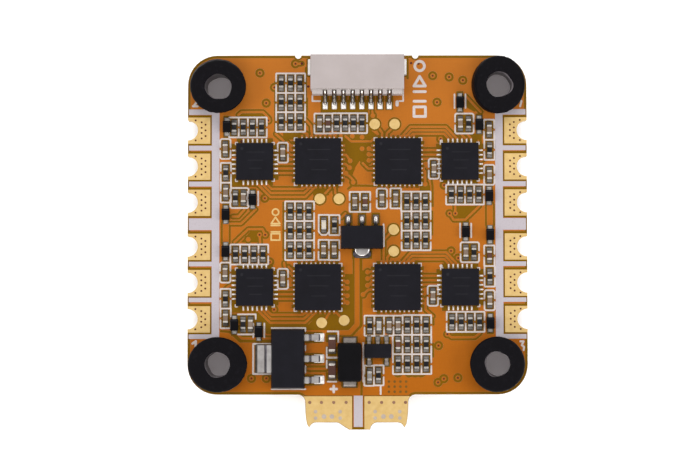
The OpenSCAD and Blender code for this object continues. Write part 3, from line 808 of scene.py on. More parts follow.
def top_copper(grow):
    """Groups of loops for the copper under the mask. grow widens all the copper."""
    groups = {"pour": [board_outline(POUR_INSET - grow)], "metal": [], "clear": [], "bare": BARE}
    clear = groups["clear"]
    gap = GAP - grow
    for width, points in [(TRACE, points) for points in TRACES] + WIDE_TRACES:
        add_track(groups, points, width, grow)
    for points in SEAMS:
        clear += stroke(points, SEAM - 2 * grow)
    for places, around in ((LONE_VIAS, LONE_VIA_GAP - grow), (END_VIAS + BLIND_STUBS, VIA_RING + gap)):
        for x, y in places:
            groups["metal"].append(disc(x, y, VIA_RING + grow))
            clear.append(disc(x, y, around))
    clear += [disc(b.x, b.y, b.w / 2 + 0.2 - grow, 28) for b in TEST_PADS]
    clear += [centred(x, y, w + 2 * gap, l + 2 * gap, 0.1) for x, y, w, l in pad_places(TOP_TERMINALS)]
    # between the two pads of each chip part
    clear += [centred(b.x, b.y, 0.78 - 2 * grow, 1.0) for b in RESISTORS + CAPACITORS + [LIGHT]]
    for chips, count, reach in SQUARE_CHIPS:
        for chip in chips:
            add_chip_pads(groups, chip, count, reach, grow)
    clear += edge_pad_gaps(grow)
    # round the socket's contacts and its two solder tabs
    clear += [rect(b.x - 0.45 + grow, 12.5, b.x + 0.45 - grow, 14.2) for b in CONTACTS]
    clear += [centred(b.x, b.y, b.w + 0.3, b.l + 0.3) for b in solids("socket_solder_tabs")]
    groups["cut"] = edge_cuts(grow)
    groups["cut"] += [disc(x, y, VIA_R, 10) for x, y in LONE_VIAS + END_VIAS + DARK_VIAS + TAB_VIAS]
    return groups


def is_copper(names):
    if "cut" in names:
        return False
    if "metal" in names:
        return True
    return "pour" in names and not names & {"clear", "bare"}


# ---- print on the controller side ----
LINE = 0.18
THIN_LINE = 0.12
INK_MARGIN = 0.06
# Half the width and height of a printed cell, the gap half way up its sides, and its corners'
# cuts when it stands alone and when it shares a line with the next cell.
CELL_X, CELL_Y, CELL_GAP = 0.56, 1.09, 0.2
CELL_CORNER, SHARED_CORNER = 0.14, 0.04


def is_pair(a, b):
    """True for a resistor and a capacitor that stand side by side in one cell near a driver."""
    unlike = (a in RESISTORS) != (b in RESISTORS)
    return unlike and abs(a.x) > 11 and abs(a.x - b.x) < 1.05 and abs(a.y - b.y) < 0.3


def has_diode_beside(part):
    """True when a small diode stands close to the part's left side."""
    return any(0.5 < part.x - d.x < 1.2 and abs(part.y - d.y) < 0.6 for d in DIODES)


def polarity_cell(x0, y0, x1, y1):
    """A cell with its two lower corners cut, to show which way round the part goes."""
    cut = 0.35
    return [(x0, y1), (x1, y1), (x1, y0 + cut), (x1 - cut, y0), (x0 + cut, y0), (x0, y0 + cut), (x0, y1)]


def open_cell(x0, y0, x1, y1):
    """A cell with no left side, and only the top of its right side."""
    return [[(x0, y1), (x1, y1), (x1, y1 - 0.5)], [(x0, y0), (x1 - 0.2, y0)]]


def cell_lines(parts):
    """Printed cells round upright two-ended parts.

    Parts that are close in a row or a column share the line half way between them, and a pair
    shares one cell, which the part on its left draws.
    """
    lines = []
    for part in parts:
        left = right = CELL_X
        up = down = CELL_Y
        mate = None
        corner = CELL_CORNER
        for other in parts:
            dx, dy = other.x - part.x, other.y - part.y
            if is_pair(part, other):
                mate = other
            elif abs(dy) < 0.5 and 0.3 < abs(dx) < 1.35:
                corner = SHARED_CORNER
                if dx < 0:
                    left = -dx / 2
                else:
                    right = dx / 2
            if abs(dx) < 0.4 and 1.2 < abs(dy) < 2.4:
                corner = SHARED_CORNER
                if dy < 0:
                    down = -dy / 2
                else:
                    up = dy / 2
        x1 = part.x + right
        if mate:
            if mate.x < part.x:
                continue
            x1 = mate.x + right
        cell = (part.x - left, part.y - down, x1, part.y + up)
        if part is LIGHT:
            lines.append(polarity_cell(*cell))
        elif mate and has_diode_beside(part):
            lines += open_cell(*cell)
        else:
            lines += brackets(*cell, CELL_GAP, corner)
    return lines


def side_bars(part, reach, half, shift=0.0):
    """A printed bar on each side of a part, moved up by shift."""
    return [[(part.x + s * reach, part.y + shift - half), (part.x + s * reach, part.y + shift + half)]
            for s in (-1, 1)]


def corner_marks(chip, out, arm):
    """An angle at each corner of a square chip, with arms of the given length."""
    h = chip.w / 2 + out
    return [[(chip.x + sx * (h - arm), chip.y + sy * h), (chip.x + sx * h, chip.y + sy * h),
             (chip.x + sx * h, chip.y + sy * (h - arm))] for sx in (-1, 1) for sy in (-1, 1)]


def print_lines():
    """All thin printed lines, as (width, points)."""
    lines = [(LINE, p) for p in cell_lines(RESISTORS + CAPACITORS + [LIGHT])]
    for chips, out, arm in ((MCUS, 0.1, 0.32), (DRIVERS, 0.12, 0.24)):
        lines += [(THIN_LINE, p) for chip in chips for p in corner_marks(chip, out, arm)]
    for part in DIODES:
        if abs(part.x) < 13:
            lines += [(LINE, p) for p in side_bars(part, 0.6, 0.75, 0.13)]
    lines += [
        # round the socket
        (LINE, [(-4.9, 14.1), (-4.9, 13.5), (-4.05, 13.5)]),
        (LINE, [(5.02, 16.1), (5.02, 13.5), (4.6, 13.5)]),
        (0.35, [(4.36, 13.05), (4.36, 13.4)]),
        # round the regulators, the power diode and the filter capacitors
        (LINE, [(-9.35, -11.28), (-5.68, -11.28), (-5.68, -11.6)]),
        (LINE, [(-9.35, -17.9), (-5.68, -17.9)]),
        (LINE, [(-5.68, -13.2), (-5.68, -13.7)]), (LINE, [(-5.68, -15.4), (-5.68, -16.1)]),
        (0.2, [(-11.3, -13.0), (-9.4, -13.0)]), (0.2, [(-11.3, -16.25), (-9.4, -16.25)]),
        (0.2, [(-11.35, -13.0), (-11.35, -16.25)]),
        (LINE, [(-3.25, -11.64), (-2.1, -11.64), (-2.1, -12.8)]),
        (0.22, [(-3.25, -14.5), (-2.3, -14.5)]), (LINE, [(-3.25, -17.1), (-2.3, -17.1)]),
        (LINE, [(-3.35, -13.4), (-3.35, -14.5)]), (LINE, [(-3.35, -14.8), (-3.35, -15.6)]),
        (LINE, [(0.62, -12.9), (0.62, -17.1)]),
        (LINE, [(3.84, -12.95), (3.84, -14.5)]), (LINE, [(2.85, 0.0), (2.85, -0.3)]),
        (LINE, [(2.88, -0.3), (2.88, -2.4)]),
        # battery marks
        (0.28, [(-2.93, -17.9), (-2.27, -17.9)]), (0.28, [(-2.6, -18.23), (-2.6, -17.57)]),
        (0.2, [(2.5, -18.45), (2.5, -17.65)]),
        # channel marks, half under the grommets
        (0.24, [(-17.95, 12.95), (-17.45, 12.95)]), (0.24, [(-17.85, 13.0), (-17.5, 13.45)]),
        (0.22, [(17.8, 12.9), (17.95, 13.5)]),
        (0.26, [(-17.95, -12.95), (-17.6, -12.7), (-17.6, -13.5)]),
        (0.22, [(17.7, -12.75), (18.05, -12.75), (17.85, -13.15), (18.1, -13.35), (18.05, -13.7)]),
    ]
    return lines


def plain_marks(x0, x1, y0, size, gap, width):
    """Square, bars, triangle and ring, one above the other from y0, in place of lettering."""
    middle = (x0 + x1) / 2
    y = [y0 + k * (size + gap) for k in range(4)]
    return [
        (width, ring_path(x0, y[0], x1, y[0] + size)),
        (width, [(x0, y[1]), (x1, y[1])]), (width, [(x0, y[1] + size), (x1, y[1] + size)]),
        (width, [(x0, y[2]), (x1, y[2]), (middle, y[2] + size), (x0, y[2])]),
        (width, disc(middle, y[3] + size / 2, size / 2) + [(middle + size / 2, y[3] + size / 2)])
    ]


def side_band(side):
    """The wide printed band that walls in the motor pads, with a finger between each pair."""
    x0, x1, tip = side * 15.05, side * 15.88, side * 18.38
    fingers = [(12.0, 12.6), (8.1, 8.62), (4.16, 4.7), (-0.6, 0.68), (-4.55, -4.05), (-8.45, -7.97),
               (-12.45, -11.95)]
    return ([rect(min(x0, x1), -12.45, max(x0, x1), 12.6)]
            + [rect(min(x0, tip), low, max(x0, tip), high) for low, high in fingers])


def ink_cuts(nodes):
    """Where there is no ink: on the solder pads of the nodes' parts and in the grommets' holes."""
    return ([centred(x, y, w + INK_MARGIN, l + INK_MARGIN) for x, y, w, l in pad_places(nodes)]
            + corner_holes(GROMMET_NECK))


def print_groups():
    """The thin printed lines, marks and dots, and where they are cut away."""
    lines = print_lines() + plain_marks(6.2, 7.45, 11.8, 1.05, 0.62, 0.3)
    pin_one_dots = [disc(9.17, 9.1, 0.17), disc(9.1, -4.55, 0.17)]
    return {"ink": strokes(lines) + pin_one_dots, "cut": ink_cuts(TOP_TERMINALS)}


def is_ink(names):
    return "ink" in names and "cut" not in names


# ---- copper and print on the underside ----
def under_groups(grow):
    """Groups of loops for the copper under the board: a pour for each motor pad, and a few tracks."""
    groups = {"pour": [board_outline(POUR_INSET - grow)], "clear": edge_pad_gaps(grow), "metal": [],
              "cut": []}
    seam = GAP - 2 * grow
    margin = 2 * (0.7 * GAP - grow)
    groups["clear"] += [centred(x, y, w + margin, l + margin, 0.05)
                        for x, y, w, l in pad_places(UNDER_TERMINALS)]
    for side in (-1, 1):
        for y in PAD_ROWS:
            groups["clear"] += stroke([(side * 7.2, y + 1.97), (side * 15.4, y + 1.97)], seam)
            groups["clear"] += stroke([(side * 11.55, y - 1.5), (side * 11.55, y + 1.5)], seam)
            groups["cut"] += [disc(side * 15.45, y - 1.25 + 0.5 * k, VIA_R, 10) for k in range(6)]
        for k in range(9):
            groups["cut"] += [disc(side * 7.35, 11.2 - 2.1 * k, VIA_R, 10),
                              disc(side * (1.2 + 0.62 * k), 13.6, VIA_R, 10)]
    groups["clear"] += stroke([(0, -3.6), (0, -18.4)], seam)
    for k in range(5):
        y = 12.2 - 1.5 * k
        for side in (-1, 1):
            start = (side * (0.8 + 0.45 * k), 14.6)
            add_track(groups, [start, (start[0], y), (side * 6.6, y - 2.2), (side * 7.6, y - 2.2)],
                      TRACE, grow)
            groups["metal"].append(disc(*start, 0.25 + grow))
            groups["cut"].append(disc(*start, 0.1, 10))
    groups["cut"] += edge_cuts(grow)
    return groups


def band_groups():
    """The wide bands beside the motor pads and the bar between the battery pads."""
    bar = rect(-0.42, -22.0, 0.55, -18.62)
    return {"ink": side_band(-1) + side_band(1) + [bar], "cut": corner_holes(GROMMET_NECK)}


def under_print_groups():
    """Bars beside the power parts, a line round the shunt, a plus sign and a blank label field."""
    h = 1.88
    lines = [(0.14, [(b.x + sx * (h - 0.6), b.y + sy * h), (b.x + sx * h, b.y + sy * h)])
             for b in MOSFETS for sx in (-1, 1) for sy in (-1, 1)]
    lines += [(LINE, p) for b in BULK for p in side_bars(b, 1.15, 1.2)]
    shunt = node_box("current_shunt_terminals")
    x0, x1, y0, y1 = shunt.low[0] - 0.2, shunt.high[0] + 0.2, shunt.low[1] + 0.3, shunt.high[1] + 0.2
    lines += [
        (LINE, [(x0, y0), (x0, y1), (x1, y1), (x1, y0)]),
        (0.2, [(-5.05, -17.9), (-4.15, -17.9)]), (0.2, [(-4.6, -18.3), (-4.6, -17.5)]),
        (LINE, ring_path(-3.6, 1.0, 3.6, 5.6, 0.4)), (LINE, [(-3.6, 3.3), (3.6, 3.3)])
    ]
    return {"ink": strokes(lines), "cut": ink_cuts(UNDER_TERMINALS)}


# ---- the board itself ----
# Thickness of the mask with the copper under it, of the copper, and of the print.
SKIN = 0.05
COPPER = 0.035
INK = 0.012
# The mask slopes down beside the copper: how far the slope reaches, and how far it starts below.
SHOULDER_REACH, SHOULDER_DROP = 0.018, 0.012


def make_layers(name, material, slot, *sheets, node=None):
    """One object from sheets given as (groups, keep, z0, z1)."""
    piece = Piece(name, material)
    for groups, keep, z0, z1 in sheets:
        piece.add(region(groups, keep, z0, z1))
    piece.done(slot, *([node] if node else []))


def is_board(names):
    return "board" in names and "cut" not in names


def make_via_dots():
    """Dots in the single vias: dark ones painted with the shade inside the holes, and olive ones."""
    dots = [(x, y, VIA_R, 0) for x, y in LONE_VIAS + END_VIAS]
    dots += [(x, y, DARK_VIA_R, 0) for x, y in DARK_VIAS]
    dots += [(x, y, DARK_VIA_R, 1) for x, y in TAB_VIAS]
    fill = Piece("board_via_dots", VIA_HOLE_SHADE, OLIVE_VIA_FILL)
    for x, y, r, shade in dots:
        fill.add(plate(disc(0, 0, r, 12), -COPPER, 0.004), (x, y, TOP), material=shade)
    fill.done("solder_mask")


def make_board():
    body = {"board": [board_outline()],
            "cut": half_holes(HALF_HOLE) + corner_holes(GROMMET_NECK) + edge_notches(NOTCH)}
    reach, drop = SHOULDER_REACH, SHOULDER_DROP
    make_layers("board_laminate", LAMINATE, "solder_mask", (body, is_board, BOTTOM + SKIN, TOP - SKIN),
                node="circuit_board")
    make_layers("board_mask", BARE_MASK, "solder_mask", (body, is_board, TOP - SKIN, TOP - COPPER),
                (body, is_board, BOTTOM + COPPER, BOTTOM + SKIN))
    # The pale ring round the copper is a painted highlight on the mask's sloping edge.
    make_layers("board_copper_edge_highlights", SHOULDER_HIGHLIGHT, "solder_mask",
                (top_copper(reach), is_copper, TOP - COPPER, TOP - drop),
                (under_groups(reach), is_copper, BOTTOM + drop, BOTTOM + COPPER))
    make_layers("board_copper", MASK, "solder_mask", (top_copper(0), is_copper, TOP - COPPER, TOP),
                (under_groups(0), is_copper, BOTTOM, BOTTOM + COPPER))
    make_via_dots()
    make_layers("board_print", PRINT, "solder_mask",
                (print_groups(), is_ink, TOP - COPPER, TOP + INK),
                (under_print_groups(), is_ink, BOTTOM - INK, BOTTOM + COPPER))
    make_layers("board_band_print", BAND, "solder_mask",
                (band_groups(), is_ink, TOP - COPPER, TOP + INK),
                (band_groups(), is_ink, BOTTOM - INK, BOTTOM + COPPER))
    marks = {"ink": strokes(plain_marks(-9.4, -8.45, -1.7, 0.7, 0.2, 0.17))}
    make_layers("board_gold_marks", GOLD, "gold_plate", (marks, is_ink, TOP - COPPER, TOP + INK / 2))


# ---- gold pads ----
GOLD_STEP = 0.03
GOLD_FACES = [(TOP - COPPER, TOP + GOLD_STEP), (BOTTOM - GOLD_STEP, BOTTOM + COPPER)]
PLATING = 0.1
# How far the gold stops short of a motor pad's lower and upper ends.
SHORT_BELOW, SHORT_ABOVE = 0.04, 0.09
# Vias of a motor pad: x is outwards from the middle of the board, y is from the pad's middle.
# Those of the right-hand pads stand a little further out.
PAD_VIA = 0.11
PAD_VIAS = [(17.65, 1.1), (17.65, -1.1), (17.0, 0.88), (17.0, 0.28), (17.0, -0.28), (17.0, -0.88),
            (16.57, 0), (16.57, 0.62), (16.57, -0.62)]
RIGHT_VIA_NUDGE = 0.1
# Vias of a battery pad: a row of small ones, and wide ones as (x, y, radius), with x outwards.
TAB_VIA = 0.18
TAB_VIA_ROW = [(x, -19.35) for x in (1.25, 2.6, 3.93, 5.2)]
WIDE_TAB_VIAS = [(x, y, 0.21) for x in (1.9, 4.57) for y in (-20.35, -21.05)]
WIDE_TAB_VIAS += [(x, -20.88, 0.27) for x in (2.8, 3.65)]
# The battery pads' gold reaches this far past the CAD pads, and the tab's outline trims it.
TAB_GOLD_OUT = 0.3


def is_pad(names):
    return "pad" in names and "cut" not in names


def via_plug(r):
    """A plug through the whole board, that ends between the mask's face and the gold's."""
    return plate(disc(0, 0, r, 12), BOTTOM - 0.01, TOP + 0.01)


def make_motor_pads():
    """Gold on both faces and in the half hole of each pad, with small vias painted dark with the shade
    inside their holes.
    """
    for number in range(1, 5):
        piece = Piece(f"motor_{number}_gold", GOLD, VIA_HOLE_SHADE)
        for b in solids(f"motor_{number}_pads"):
            side = 1 if b.x > 0 else -1
            nudge = RIGHT_VIA_NUDGE if side > 0 else 0
            vias = [(side * x + nudge, b.y + y) for x, y in PAD_VIAS]
            groups = {
                "pad": [rect(b.low[0], b.low[1] + SHORT_BELOW, b.high[0], b.high[1] - SHORT_ABOVE, 0.05)],
                "cut": [disc(side * EDGE, b.y, HALF_HOLE - PLATING, 32)]
                + [disc(x, y, PAD_VIA, 12) for x, y in vias]
            }
            for z0, z1 in GOLD_FACES:
                piece.add(region(groups, is_pad, z0, z1))
            inner = arc(side * EDGE, b.y, HALF_HOLE - PLATING, 90, 90 + side * 180, 20)
            outer = arc(side * EDGE, b.y, HALF_HOLE, 90 + side * 180, 90, 20)
            piece.add(region({"pad": [inner + outer]}, is_pad, BOTTOM, TOP))
            for x, y in vias:
                piece.add(via_plug(PAD_VIA), (x, y, 0), material=1)
        piece.done("gold_plate", f"motor_{number}_pads")


def make_battery_pads():
    """Gold on both faces of the tab, with a row of small dark vias and some wide plugged ones."""
    for pole, side in (("positive", -1), ("negative", 1)):
        b = BATTERY_PADS[side]
        wide = [(side * x, y, r) for x, y, r in WIDE_TAB_VIAS]
        out = TAB_GOLD_OUT
        groups = {
            "pad": [rect(b.low[0] - out * (side < 0), b.low[1] - out, b.high[0] + out * (side > 0),
                         b.high[1])],
            "tab": [board_outline(0.04)],
            "cut": [disc(side * x, y, TAB_VIA, 12) for x, y in TAB_VIA_ROW]
            + [disc(x, y, r - 0.01, 14) for x, y, r in wide]
        }
        piece = Piece(f"battery_pad_{pole}_gold", GOLD, PLUGGED, TAB_VIA_FILL)
        for x, y in TAB_VIA_ROW:
            piece.add(via_plug(TAB_VIA), (side * x, y, 0), material=2)
        for z0, z1 in GOLD_FACES:
            piece.add(region(groups, lambda names: names == {"pad", "tab"}, z0, z1))
            for x, y, r in wide:
                piece.add(plate(disc(x, y, r, 14), z0, z1 - 0.015), material=1)
        piece.done("gold_plate", f"battery_pad_{pole}")


def make_test_pads():
    piece = Piece("test_pads_gold", GOLD)
    for b in TEST_PADS:
        rings = [[(x, y, z) for x, y in disc(0, 0, b.w / 2 - inset, 28)]
                 for z, inset in ((-COPPER, 0), (GOLD_STEP / 2, 0), (GOLD_STEP, 0.03))]
        piece.add(loft(rings), (b.x, b.y, TOP))
    piece.done("gold_plate", "test_pads")


# ---- grommets ----
# The upper flange of each soft ring: how far it leans in x and y, and its radius in x and y.
GROMMET_SHAPE = {1: (0.18, 0.05, 3.21, 2.99), 2: (0.2, -0.42, 3.03, 2.91),
                 3: (-0.21, 0.06, 2.97, 3.0), 4: (0.16, -0.19, 2.78, 3.15)}
# Each bore: its radius, and how far its foot is pushed over in x and y.
BORE_SHAPE = {1: (1.36, 0.1, 0.0), 2: (1.42, 0.1, -0.1), 3: (1.36, 0.28, 0.0), 4: (1.38, 0.35, 0.18)}
GROMMET_RIM = 0.32
# Points further out than this belong to a flange, and points further in than this to the bore.
FLANGE_FROM, BORE_TO = 2.7, 1.75
TURN_STEPS = 120


def grommet_profile(outer, height, bore):
    """Section of a ring, as (radius, z): round-rimmed flanges, a neck, and a bevelled bore."""
    rim, neck = GROMMET_RIM, GROMMET_NECK
    lower = [(outer - rim + rim * math.sin(math.radians(a)), rim - rim * math.cos(math.radians(a)))
             for a in range(0, 91, 15)]
    groove = [(outer, 0.12), (outer - 0.08, 0.02), (neck + 0.1, 0.02), (neck, 0)]
    bevel = [(bore + 0.08, 0), (bore + 0.03, 0.03), (bore, 0.08)]
    return (lower + [(r, BOTTOM - z) for r, z in groove] + [(r, TOP + z) for r, z in groove[::-1]]
            + [(r, height - z) for r, z in lower[::-1]] + [(2.4, height + 0.01), (2.0, height)]
            + [(r, height - z) for r, z in bevel] + [(bore, 4.6), (bore, 3.0), (bore, 1.4)]
            + bevel[::-1] + [(2.3, 0)])


def worn(x, y, z, number):
    """A point of a ring moved in or out: small nicks in the flanges, a slow wave in the bore."""
    r, turn = math.hypot(x, y), math.atan2(y, x)
    c, s = math.cos(turn), math.sin(turn)
    wave = noise.noise(Vector((c * 1.3 + number * 7, s * 1.3, z * 0.12)))
    nick = noise.noise(Vector((c * 9 + number * 3, s * 9, z * 0.7)))
    if r > FLANGE_FROM:
        r += min(0.05 * wave + 0.06 * nick, 0)
    elif r < BORE_TO:
        r += 0.14 * wave
    return r, r * c, r * s


def make_grommet(number):
    """A soft ring with a groove for the board, a worn rim and a slightly uneven bore."""
    b = node_box(f"grommet_{number}")
    outer, height = b.w / 2, b.h
    lean_x, lean_y, wide, long = GROMMET_SHAPE[number]
    bore, foot_x, foot_y = BORE_SHAPE[number]
    profile = grommet_profile(outer, height, bore)
    points, faces = lathe(profile, TURN_STEPS)
    # Faces in the bore take the pale rubber that paints light into the bore.
    inside = [r < bore + 0.01 for r, z in profile]
    paint = [int(a and b) for a, b in zip(inside, inside[1:] + inside[:1])] * TURN_STEPS
    shaped = []
    for x, y, z in points:
        r, x, y = worn(x, y, z, number)
        if r > FLANGE_FROM and z > TOP:
            x, y = x * wide / outer, y * long / outer
        elif r < BORE_TO:
            x, y = x + foot_x * (1 - z / height), y + foot_y * (1 - z / height)
        high = max(z - TOP, 0) / (height - TOP)
        shaped.append((x + lean_x * high, y + lean_y * high, z))
    piece = Piece(f"grommet_{number}_rubber", RUBBER, LIT_BORE_RUBBER)
    piece.add((shaped, faces), (b.x, b.y, b.low[2]), material=paint, smooth=True)
    piece.done("rubber", f"grommet_{number}")


# ---- chips ----
def mark(loop, z, proud=0.003):
    """A laser mark, a little proud of a moulding's upper face at height z."""
    return plate(loop, z - 0.02, z + proud)


def make_square_chip(name, chip):
    """A flat moulded chip with a laser-marked dot and three faint blank bars."""
    at, z1 = (chip.x, chip.y, 0), chip.high[2]
    body = Piece(f"{name}_body", CHIP, CHIP_MARK)
    body.add(slab(chip.w, chip.l, chip.low[2], z1, 0.06, 0.035), at)
    inset = chip.w / 2 - 0.62
    body.add(mark(disc(-inset, inset, 0.17, 20), z1, 0.004), at, material=1)
    for k in range(3):
        y = 0.25 * chip.w - 0.22 * chip.w * k
        body.add(mark(centred(0.1, y, chip.w * (0.5 - 0.08 * k), 0.09, 0.04), z1), at, material=1)
    body.done("chip_plastic", name)


def make_chip_leads():
    """A solder bead against each terminal, on its pad, and the heat pad under the chip."""
    for node, chips, count, reach in (("motor_controller_terminals", MCUS, 8, 0.22),
                                      ("gate_driver_terminals", DRIVERS, 6, 0.55)):
        piece = Piece(f"{node}_solder", BRIGHT_TIN, TIN)
        pad = (0, reach / 2, 0.2, reach)
        crest = (0, reach * 0.4, 0.11, reach * 0.6)
        foot = (0, -0.18, 0.24, 0.34)
        for chip in chips:
            for x, y, turn in chip_lead_places(chip, count, 0):
                piece.add(meniscus(pad, crest, 0, 0.12, 0.09), (x, y, TOP - 0.01), turn, smooth=True)
                piece.add(meniscus(foot, foot, 0, 0.045, 0.04), (x, y, TOP), turn, 1)
            heat = chip.w - 1.6
            piece.add(slab(heat, heat, TOP, TOP + 0.045, 0.1, 0.01, 0.005), (chip.x, chip.y, 0), 0, 1)
        piece.done("tinned_metal", node)


# ---- two-ended chip parts ----
BROWN_CAPACITORS = [(-3.24, 10.98), (0.82, 2.5), (14.4, -3.3), (4.36, -13.12)]
GREY_CAPACITORS = [(2.36, -11.0), (1.3, -16.5)]
# Each kind: length, width, height, cap length, pad width, length over the solder, materials.
R0402 = (1.0, 0.5, 0.35, 0.23, 0.64, 1.8, (GLAZE, ALUMINA))
C0402 = (1.0, 0.52, 0.5, 0.22, 0.62, 1.8, (TAN, BROWN, GREY))
L0402 = (1.0, 0.52, 0.5, 0.2, 0.62, 1.8, (LENS,))
C0603 = (1.6, 0.84, 0.8, 0.35, 0.92, 2.05, (BROWN,))
C1206 = (3.2, 1.6, 1.6, 0.5, 1.75, 4.1, (BROWN,))
R2512 = (6.35, 3.1, 0.6, 1.1, 3.1, 6.9, (GLAZE, ALUMINA))


def capacitor_shade(b):
    """1 for a brown capacitor, 2 for a grey one, 0 for the rest."""
    for shade, places in ((1, BROWN_CAPACITORS), (2, GREY_CAPACITORS)):
        if any(math.hypot(b.x - x, b.y - y) < 0.3 for x, y in places):
            return shade
    return 0


def make_chip_parts(name, bodies, kind, slot, under=False, turn=0.0):
    """Parts of one kind: bodies, end caps, and the solder that climbs them.

    A resistor is a black glaze over an alumina block. Each part is turned a little at random.
    """
    length, width, height, cap, pad_w, reach, materials = kind
    z = BOTTOM if under else TOP
    body = Piece(f"{name}_bodies", *materials)
    ends = Piece(f"{name}_ends", CAP_TIN if kind is R0402 else CERAMIC_TIN, SOLDER)
    edge = 0.15 if kind is C0603 else 0.05
    pad_l = reach / 2 - length / 2 + cap
    for b in bodies:
        at = (b.x, b.y, z)
        tilt = turn + 1.6 * noise.noise(Vector((b.x * 3.1, b.y * 2.7, 0)))
        if ALUMINA in materials:
            body.add(slab(width * 0.97, length * 0.94, 0.03, height - 0.06, 0.03, 0.02), at, tilt,
                     1, under=under)
            body.add(slab(width * 1.02, length - 2 * cap, 0.05, height + 0.005, 0.04, 0.03), at,
                     tilt, 0, True, under)
        else:
            body.add(slab(width * 0.96, length * 0.94, 0.03, height - 0.02, 0.05, 0.04), at, tilt,
                     capacitor_shade(b) if kind is C0402 else 0, under=under)
        c, s = math.cos(math.radians(tilt)), math.sin(math.radians(tilt))
        for side in (-1, 1):
            middle = side * (length - cap) / 2
            ends.add(slab(width, cap, 0.0, height, edge, edge, 0.01),
                     (b.x - s * middle, b.y + c * middle, z), tilt, 0, True, under)
            low = (0, side * (reach - pad_l) / 2, pad_w, pad_l)
            high = (0, side * (length / 2 - 0.02), width * 0.8, 0.06)
            ends.add(meniscus(low, high, 0, height * 0.72, 0.1, 5), at, tilt, 1, True, under)
    body.done(slot, f"{name}_body" if len(bodies) == 1 else f"{name}_bodies")
    ends.done("tinned_metal", f"{name}_terminals")


def make_small_diodes():
    bodies = Piece("small_diode_mouldings", DIODE_PLASTIC, CHIP_MARK)
    leads = Piece("small_diode_tabs", CAP_TIN, SOLDER)
    for b in DIODES:
        at = (b.x, b.y, TOP)
        bodies.add(moulded(b.w, b.l, 0.01, b.h, 0.3, 0.02, 0.06, 0.03), at)
        bodies.add(mark(centred(0, b.l * 0.36, b.w * 0.8, 0.09, 0.03), b.h), at, 0, 1)
        for turn in (0, 180):
            leads.add(strap([(0.55, 0.09), (0.86, 0.09), (0.94, 0.08)], 0.42, 0.13), at, turn, 0)
            leads.add(meniscus((0, 0.82, 0.62, 0.44), (0, 0.8, 0.5, 0.38), 0, 0.07), at, turn, 1, True)
    bodies.done("chip_plastic", "small_diode_bodies")
    leads.done("tinned_metal", "small_diode_leads")


# ---- packages with leads ----
# Stretches of a gull-wing lead round its bend, painted with shade.
SHADED_GULL_BEND = (1, 2, 3, 4, 5)


def gull(reach, exit_z, t, shoulder=0.22):
    """Path of a gull-wing lead of thickness t, from the body's face down to the board."""
    steps = [(0, exit_z), (0.06, exit_z - 0.05), (0.1, exit_z - 0.14), (0.16, t / 2 + 0.14),
             (0.21, t / 2 + 0.04), (0.3, t / 2 + 0.01)]
    return [(-0.15, exit_z)] + [(shoulder + y, z) for y, z in steps] + [(reach, t / 2 + 0.01)]


def make_moulding(name, material, shape, turn=0.0, under=False):
    """Adds the moulded body of a package in place of its CAD body, and returns that body's box."""
    b = node_box(f"{name}_body")
    body = Piece(f"{name}_moulding", material)
    body.add(shape(b), (b.x, b.y, BOTTOM if under else TOP), turn, under=under)
    body.done("chip_plastic", f"{name}_body")
    return b


def make_main_regulator():
    """Three gull-wing leads to the right and a wide one to the left."""
    b = make_moulding("main_regulator", CHIP,
                      lambda b: moulded(b.w, b.l, 0.05, b.h + 0.05, 0.85, 0.12, 0.06))
    leads = Piece("main_regulator_metal", TIN, SHADED_TIN, BRIGHT_TIN, SOLDER)
    lead, tab = gull(1.5, 0.85, 0.25, 0.42), gull(1.5, 0.85, 0.25, 0.45)
    for k in (-1, 0, 1):
        at = (b.high[0], b.y + k * 2.3, TOP)
        # Each lead's bend, and a small block at its tip, are painted with shade.
        leads.add(strap(lead, 0.72, 0.25, 0.05), at, -90, strap_paint(lead, SHADED_GULL_BEND))
        leads.add(slab(0.72, 0.18, 0.0, 0.22, 0.08, 0.08), (at[0] + 1.57, at[1], TOP), -90, 1, True)
        leads.add(meniscus((0, 1.55, 0.9, 1.15), (0, 1.5, 0.8, 1.0), 0, 0.05), at, -90, 2, True)
    at = (b.low[0], b.y, TOP)
    leads.add(strap(tab, 3.0, 0.25, 0.05), at, 90, strap_paint(tab, SHADED_GULL_BEND))
    leads.add(meniscus((0, 1.35, 3.16, 0.8), (0, 1.3, 3.05, 0.55), 0, 0.1), at, 90, 3, True)
    leads.done("tinned_metal", "main_regulator_leads")


def make_logic_regulator():
    """Three flat leads above, and below a round heat tab with a bright top; its sides and the solder
    round it are painted with shade.
    """
    b = make_moulding("logic_regulator", CHIP, lambda b: moulded(b.w, b.l, 0.01, b.h, 0.5, 0.08, 0.06))
    leads = Piece("logic_regulator_metal", TIN, SOLDER, SHADED_TIN)
    for k in (-1, 0, 1):
        at = (b.x + k * 1.5, b.high[1], TOP)
        leads.add(strap([(-0.1, 0.22), (0.9, 0.22), (1.02, 0.2)], 0.44, 0.36, 0.12), at, 0, 0, True)
        leads.add(meniscus((0, 0.75, 0.66, 0.95), (0, 0.6, 0.46, 0.6), 0, 0.24), at, 0, 1, True)
    at = (b.x, b.low[1], TOP)
    tab = arc(0, 0.1, 0.86, 0, 180, 16) + [(-0.86, -0.1), (0.86, -0.1)]
    levels = ((0, 1), (0.2, 1), (0.36, 0.9), (0.4, 0.8))
    # The tab's underside and lower sides, and the solder round it, are painted with shade.
    leads.add(loft([[(x * k, y * 0.86 * k, z) for x, y in tab] for z, k in levels]), at, 180,
              [2, 0] + [2] * 2 * len(tab) + [0] * len(tab))
    leads.add(meniscus((0, 0.48, 2.0, 1.0), (0, 0.4, 1.7, 0.8), 0, 0.16, 0.4), at, 180, 2, True)
    leads.done("tinned_metal", "logic_regulator_leads")


